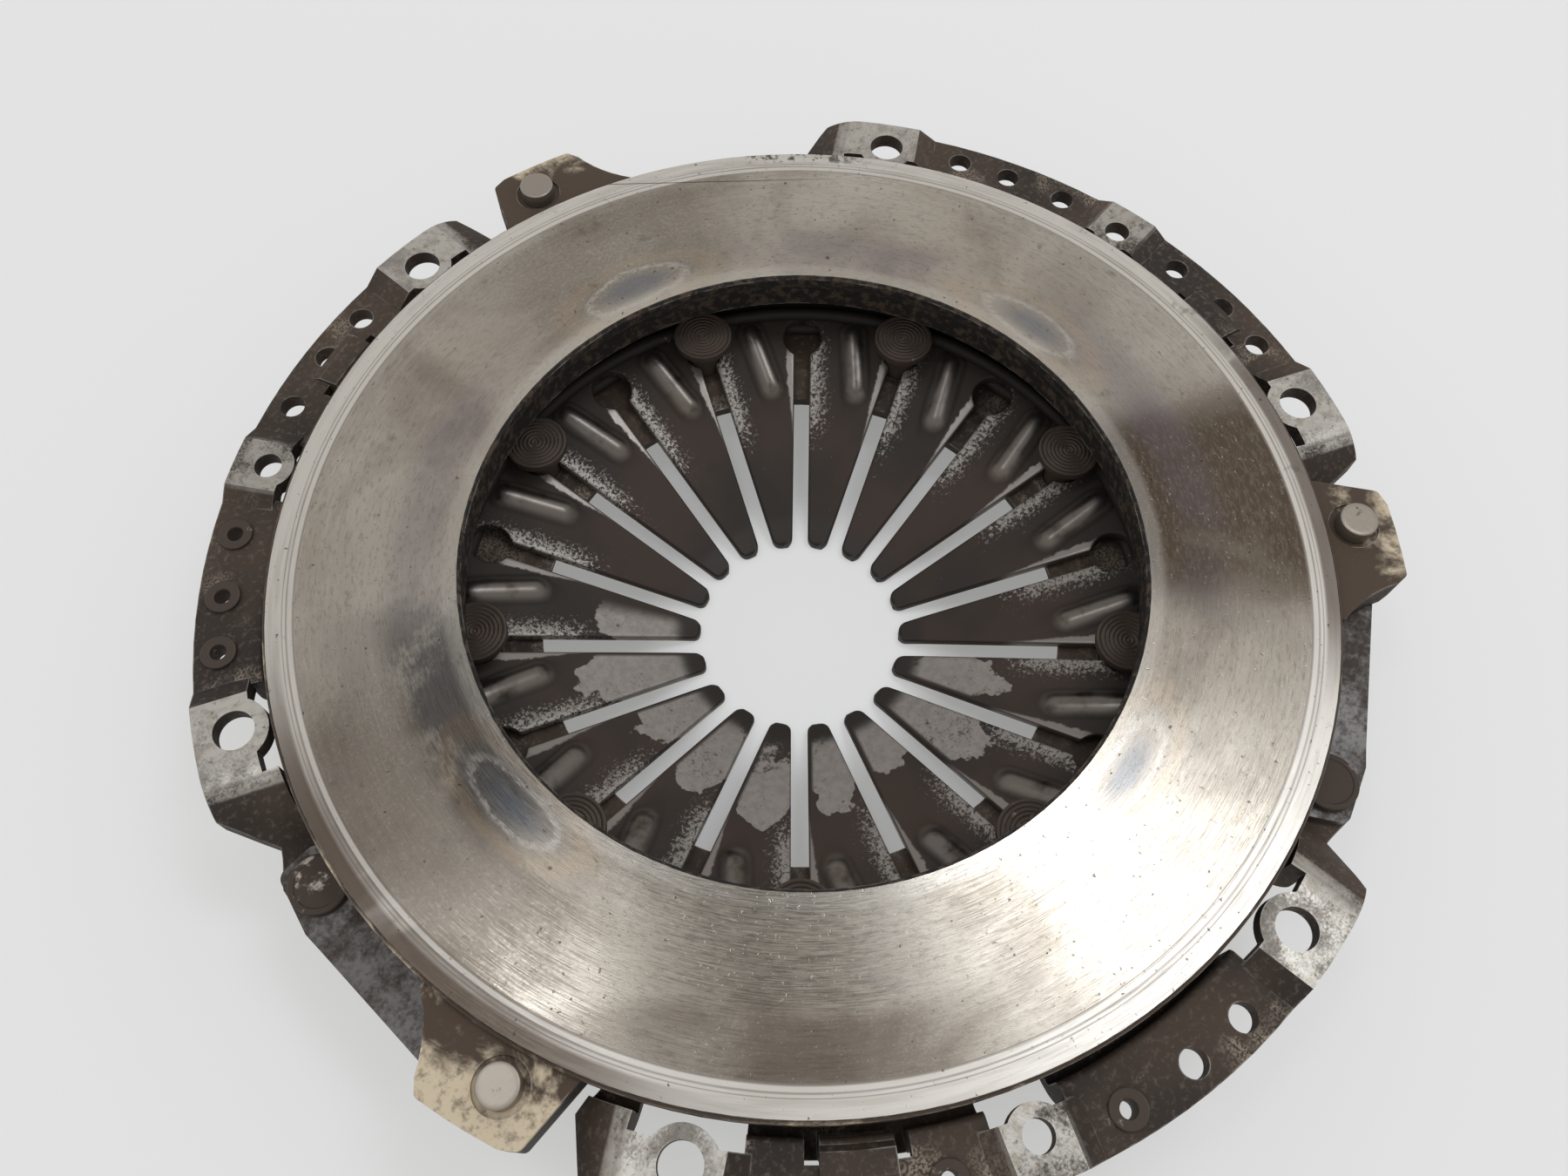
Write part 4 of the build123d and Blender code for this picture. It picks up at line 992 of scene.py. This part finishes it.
def bead_ends(s):
    """The two ends (x, y) of the line that the bead of the first finger lies along."""
    return tuple((radius * math.cos(angle), radius * math.sin(angle))
                 for radius, angle in ((s.bead_in, s.bead_in_angle), (s.bead_out, s.bead_out_angle)))


def bead_height(x, y, s):
    """Height of the pressed bead on one finger: a rounded ridge along a line, a cosine across it."""
    start, end = np.array(bead_ends(s))
    run = end - start
    along = np.clip(((x - start[0]) * run[0] + (y - start[1]) * run[1]) / (run @ run), 0, 1)
    away = np.hypot(x - start[0] - along * run[0], y - start[1] - along * run[1])
    return s.bead_height * np.cos(np.clip(away / s.bead_half, 0, 1) * np.pi / 2)


def spring_rows(s):
    """Radii of the rows of a sector: close at the tips, the bead, the round slot end and the rim."""
    round_end = s.keyhole_at + s.keyhole_radius * np.sin(np.linspace(-np.pi / 2, np.pi / 2, 15))
    return np.unique(np.concatenate((
        s.tip_radius + np.array([0, 0.25, 0.6, 1.0, 1.5, 2.1]) * MM,
        np.arange(s.tip_radius + 4 * MM, s.bead_in - 4 * MM, 2.6 * MM),
        np.arange(s.bead_in - 3 * MM, s.keyhole_at - s.keyhole_radius, 0.8 * MM),
        round_end,
        np.linspace(s.keyhole_at + s.keyhole_radius + 1.5 * MM, s.rim_radius - 1.5 * MM, 8),
        s.rim_radius - np.array([0.6, 0.25, 0]) * MM)))


def half_gaps(rows, s):
    """Half the gap between two fingers at each row: half the slot, or the root of (keyhole radius squared
    less the squared distance from its middle), and more at the tips, where their corners are arcs."""
    inside = np.clip(s.keyhole_radius ** 2 - (rows - s.keyhole_at) ** 2, 0, None)
    gap = np.maximum(np.where(rows < s.keyhole_at, s.slot / 2, 0), np.sqrt(inside))
    corner = np.clip(s.tip_corner - (rows - s.tip_radius), 0, None)
    return gap + s.tip_corner - np.sqrt(s.tip_corner ** 2 - corner ** 2)


def walls(line, count):
    """Quads that join a line of the upper face to the same line of the lower face, count points on."""
    return np.stack((line[:-1], line[1:], line[1:] + count, line[:-1] + count), axis=-1)


def spring_shape(s):
    """Points and faces of the whole spring, one finger-wide sector repeated round the axis.

    A sector is a grid: rows run out along the radius and columns go across from one slot to the next,
    gathered round the bead. The edge of a slot is at half_gaps from the slot's middle. The lower face is a
    thickness under the upper, and the two come together over a small radius at the edges, where walls
    join them.
    """
    step = 2 * math.pi / FINGERS
    rows = spring_rows(s)
    gap = half_gaps(rows, s)
    free = gap > 0.01 * MM
    low_angle = np.arcsin(np.clip(gap / rows, 0, 1))
    width = step - 2 * low_angle
    rounding = np.minimum(s.edge_radius / rows, width / 8)
    first = np.array([0, 0.3, 1.0]) * rounding[:, None]
    bead_angle = np.interp(rows, [s.bead_in, s.bead_out], [s.bead_in_angle, s.bead_out_angle])
    bead_at = ((bead_angle - low_angle) / width)[:, None]
    reach = np.minimum(1.25 * s.bead_half / (rows * width), 0.25)[:, None]
    shares = np.concatenate((np.linspace(0, 1, 8)[1:-1] * (bead_at - reach),
                             bead_at + np.linspace(-1, 1, 18) * reach,
                             bead_at + reach + np.linspace(0, 1, 9)[1:-1] * (1 - bead_at - reach)), axis=1)
    middle = rounding[:, None] + shares * (width - 2 * rounding)[:, None]
    last = width[:, None] - first[:, ::-1]
    angle = low_angle[:, None] + np.concatenate((first, middle, last), axis=1)

    # how far each face drops from its flat at the edges
    drop = np.array([1.0, 0.35, 0.0])
    side = np.concatenate((drop, np.zeros(shares.shape[1]), drop[::-1])) * free[:, None]
    from_end = np.minimum(rows - s.tip_radius, s.rim_radius - rows)
    end = np.interp(from_end, [0, 0.25 * MM, 0.6 * MM], drop)
    drop = np.minimum(side + end[:, None], 1.3) * s.edge_radius
    r = np.broadcast_to(rows[:, None], angle.shape)
    x, y = r * np.cos(angle), r * np.sin(angle)
    top = spring_top(r, s) + bead_height(x, y, s)
    upper, lower = top - drop, top - s.thickness / math.cos(s.rim_slope) + drop
    sector = np.concatenate([np.stack((x, y, z), axis=-1).reshape(-1, 3) for z in (upper, lower)])

    # the two faces, the walls at the tips and the rim, and the walls of the slots
    columns = angle.shape[1]
    count = angle.size
    number = np.arange(count).reshape(angle.shape)
    slot_rows = slice(0, np.count_nonzero(free) + 1)
    faces = np.concatenate((grid_faces(len(rows), columns), grid_faces(len(rows), columns, count)[:, ::-1],
                            walls(number[0], count), walls(number[-1], count),
                            walls(number[slot_rows, 0], count), walls(number[slot_rows, -1], count)))
    turn = step * np.arange(FINGERS)[:, None]
    x, y, z = sector.T
    points = np.stack((x * np.cos(turn) - y * np.sin(turn), x * np.sin(turn) + y * np.cos(turn),
                       np.broadcast_to(z, (FINGERS, len(sector)))), axis=-1)
    faces = faces + len(sector) * np.arange(FINGERS)[:, None, None]
    return points.reshape(-1, 3), faces.reshape(-1, 4)


# ---------------------------------------------------------------- operators
class CLUTCH_OT_pressure_plate(bpy.types.Operator):
    """Finish the friction face, the bore and the lugs of the pressure plate."""
    bl_idname = "clutch.pressure_plate"
    bl_label = "Pressure plate"

    def execute(self, context):
        dress("pressure_plate", plate_finish(context.scene.clutch_plate))
        return {"FINISHED"}


class CLUTCH_OT_cover(bpy.types.Operator):
    """Finish the pressed cover with its rubbed pads."""
    bl_idname = "clutch.cover"
    bl_label = "Cover"

    def execute(self, context):
        dress("cover", cover_finish(context.scene.clutch_cover))
        return {"FINISHED"}


class CLUTCH_OT_diaphragm_spring(bpy.types.Operator):
    """Finish the diaphragm spring."""
    bl_idname = "clutch.diaphragm_spring"
    bl_label = "Diaphragm spring"

    def execute(self, context):
        sizes = context.scene.clutch_spring_sizes
        points, faces = spring_shape(sizes)
        spring = as_piece("slotted_spring", points, faces, None, "diaphragm_spring", "spring_steel",
                          spring_finish(context.scene.clutch_spring, sizes))
        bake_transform(spring)
        return {"FINISHED"}


class CLUTCH_OT_straps(bpy.types.Operator):
    """Finish the leaves of the drive straps and the rivets at their ends."""
    bl_idname = "clutch.straps"
    bl_label = "Drive straps"

    def execute(self, context):
        leaf = strap_finish(context.scene.clutch_strap)
        look = context.scene.clutch_rivet
        bare_rivet = rivet_finish(look, "lug_rivet_steel", dusty_share=0.12, dust=look.dust)
        dusty_rivet = rivet_finish(look, "cover_rivet_steel", dusty_share=0.75, dust=look.dust)
        sizes = context.scene.clutch_rivet_sizes
        for opening in OPENINGS:
            lug, cover = f"strap_{opening}_lug_rivet", f"strap_{opening}_cover_rivet"
            start, end = Vector((*middle_of(cover), 0)), Vector((*middle_of(lug), 0))
            for level in LEVELS:
                bending_leaf(f"{opening}_{level}_leaf", f"strap_{opening}_{level}_leaf", start, end, leaf)
            low, high = (corner.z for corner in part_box(lug))
            outline = strap_rivet_outline(low, high, sizes.lug_head, sizes.lug_head_t, sizes, dish=0.0)
            as_piece(f"{opening}_lug_rivet", *turned(outline, middle_of(lug)), "pressure_plate", lug,
                     "rivet_steel", bare_rivet)
            low, high = (corner.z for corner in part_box(cover))
            outline = strap_rivet_outline(low, high, sizes.cover_head, sizes.cover_head_t, sizes,
                                          dish=sizes.cover_dish)
            as_piece(f"{opening}_cover_rivet", *turned(outline, middle_of(cover)), "cover", cover,
                     "rivet_steel", dusty_rivet)
        return {"FINISHED"}


class CLUTCH_OT_spacers(bpy.types.Operator):
    """Finish the spacer rivets and the fulcrum wires."""
    bl_idname = "clutch.spacers"
    bl_label = "Spacer rivets and wires"

    def execute(self, context):
        look = context.scene.clutch_rivet
        rivet = rivet_finish(look, "spacer_rivet_steel", dusty_share=0.9, dust=look.dust)
        # the wire's colour is dust darkened into painted shade, the black under the plate
        wire = rivet_finish(look, "wire_steel", dusty_share=1.0, dust=look.wire)
        sizes = context.scene.clutch_rivet_sizes
        low, high = (corner.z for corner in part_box("spacer_rivet_1"))
        outline = spacer_outline(low, high, sizes)
        for number in range(1, SPACERS + 1):
            node = f"spacer_rivet_{number}"
            as_piece(f"ringed_spacer_{number}", *turned(outline, middle_of(node)), "cover", node,
                     "rivet_steel", rivet)
        for node in ("fulcrum_wire_upper", "fulcrum_wire_lower"):
            dress(node, wire)
        return {"FINISHED"}


class CLUTCH_OT_balance_rivets(bpy.types.Operator):
    """Finish the hollow balance rivets."""
    bl_idname = "clutch.balance_rivets"
    bl_label = "Balance rivets"

    def execute(self, context):
        look = context.scene.clutch_rivet
        rivet = rivet_finish(look, "balance_rivet_steel", dusty_share=0.85, dust=look.dust)
        low, high = (corner.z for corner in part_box("balance_rivet_1"))
        outline = eyelet_outline(low, high, context.scene.clutch_rivet_sizes)
        for number in range(1, BALANCE_RIVETS + 1):
            node = f"balance_rivet_{number}"
            as_piece(f"hollow_rivet_{number}", *turned(outline, middle_of(node), closed=True), "cover", node,
                     "rivet_steel", rivet)
        return {"FINISHED"}


class CLUTCH_OT_studio(bpy.types.Operator):
    """Set out the white table, the soft lamps, the sky and the camera."""
    bl_idname = "clutch.studio"
    bl_label = "Studio"

    def execute(self, context):
        studio = context.scene.clutch_studio
        set_table(studio)
        for name, power, side, place in LAMPS:
            set_lamp(name, studio.key_power * power, side, place)
        context.scene.world = Sky("pale_sky").finish(studio.sky, studio.shade)
        context.scene.camera = set_camera(studio)
        context.scene.view_settings.view_transform = "Standard"
        return {"FINISHED"}


def set_table(studio):
    """A flat white table under the fingertips.

    It glows to the eye and in reflections only, but for a soft ring of shade under the spring's slots.
    """
    mesh = bpy.data.meshes.new("table_top")
    far = studio.table_size
    corners = [(x, y, FLOOR_Z) for x, y in ((-far, -far), (far, -far), (far, far), (-far, far))]
    mesh.from_pydata(corners, [], [(0, 1, 2, 3)])
    table = bpy.data.objects.new("table_top", mesh)
    bpy.context.scene.collection.objects.link(table)
    f = Finish("white_table")
    ray = f.add("ShaderNodeLightPath").outputs
    seen = f.most(ray["Is Camera Ray"], ray["Is Glossy Ray"])
    dim = tuple(studio.table_dim * value for value in studio.table)
    f.finish(f.mix(seen, studio.table, dim), 0.6, 0.0)
    f.shader.inputs["Emission Color"].default_value = (*studio.table, 1.0)
    shaded = f.times(f.hump(f.radius(), studio.slot_radius, 18 * MM, 16 * MM), studio.slot_shade)
    f.put(f.shader.inputs["Emission Strength"], f.times(seen, studio.table_glow, f.other(shaded)))
    mesh.materials.append(f.material)


def set_lamp(name, power, side, place):
    """A square soft lamp that looks at the middle of the object."""
    light = bpy.data.lights.new(name, "AREA")
    light.energy = power
    light.color = LAMP_COLOUR
    light.size = side
    lamp = bpy.data.objects.new(name, light)
    lamp.location = place
    lamp.rotation_euler = Vector(place).to_track_quat("Z", "Y").to_euler()
    bpy.context.scene.collection.objects.link(lamp)


def set_camera(studio):
    """The camera, as the settings place it."""
    lens = bpy.data.cameras.new("camera")
    lens.sensor_width = studio.sensor
    lens.lens = studio.lens
    lens.clip_start = 0.01
    camera = bpy.data.objects.new("camera", lens)
    camera.location = studio.camera_at
    camera.rotation_euler = studio.camera_turn
    bpy.context.scene.collection.objects.link(camera)
    return camera


class CLUTCH_PT_panel(bpy.types.Panel):
    """Sidebar panel that lists the pieces."""
    bl_idname = "CLUTCH_PT_panel"
    bl_label = "Clutch plate"
    bl_space_type = "VIEW_3D"
    bl_region_type = "UI"
    bl_category = "Clutch plate"

    def draw(self, context):
        for operator in OPERATORS:
            self.layout.operator(operator.bl_idname)
        for name in SETTINGS:
            settings = getattr(context.scene, name)
            box = self.layout.box()
            for key in settings.__annotations__:
                box.prop(settings, key)


SETTINGS = {
    "clutch_plate": PlateFinish,
    "clutch_cover": CoverFinish,
    "clutch_spring": SpringFinish,
    "clutch_spring_sizes": SpringSizes,
    "clutch_rivet_sizes": RivetSizes,
    "clutch_strap": StrapFinish,
    "clutch_rivet": RivetFinish,
    "clutch_studio": StudioSettings,
}
OPERATORS = (CLUTCH_OT_pressure_plate, CLUTCH_OT_cover, CLUTCH_OT_diaphragm_spring, CLUTCH_OT_spacers,
             CLUTCH_OT_straps, CLUTCH_OT_balance_rivets, CLUTCH_OT_studio)


def register():
    for group in SETTINGS.values():
        bpy.utils.register_class(group)
    for name, group in SETTINGS.items():
        setattr(bpy.types.Scene, name, PointerProperty(type=group))
    for operator in OPERATORS:
        bpy.utils.register_class(operator)
    bpy.utils.register_class(CLUTCH_PT_panel)


def unregister():
    bpy.utils.unregister_class(CLUTCH_PT_panel)
    for operator in reversed(OPERATORS):
        bpy.utils.unregister_class(operator)
    for name in SETTINGS:
        delattr(bpy.types.Scene, name)
    for group in reversed(SETTINGS.values()):
        bpy.utils.unregister_class(group)


def main():
    register()
    for operator in OPERATORS:
        group, name = operator.bl_idname.split(".")
        getattr(getattr(bpy.ops, group), name)()


if __name__ == "__main__":
    main()
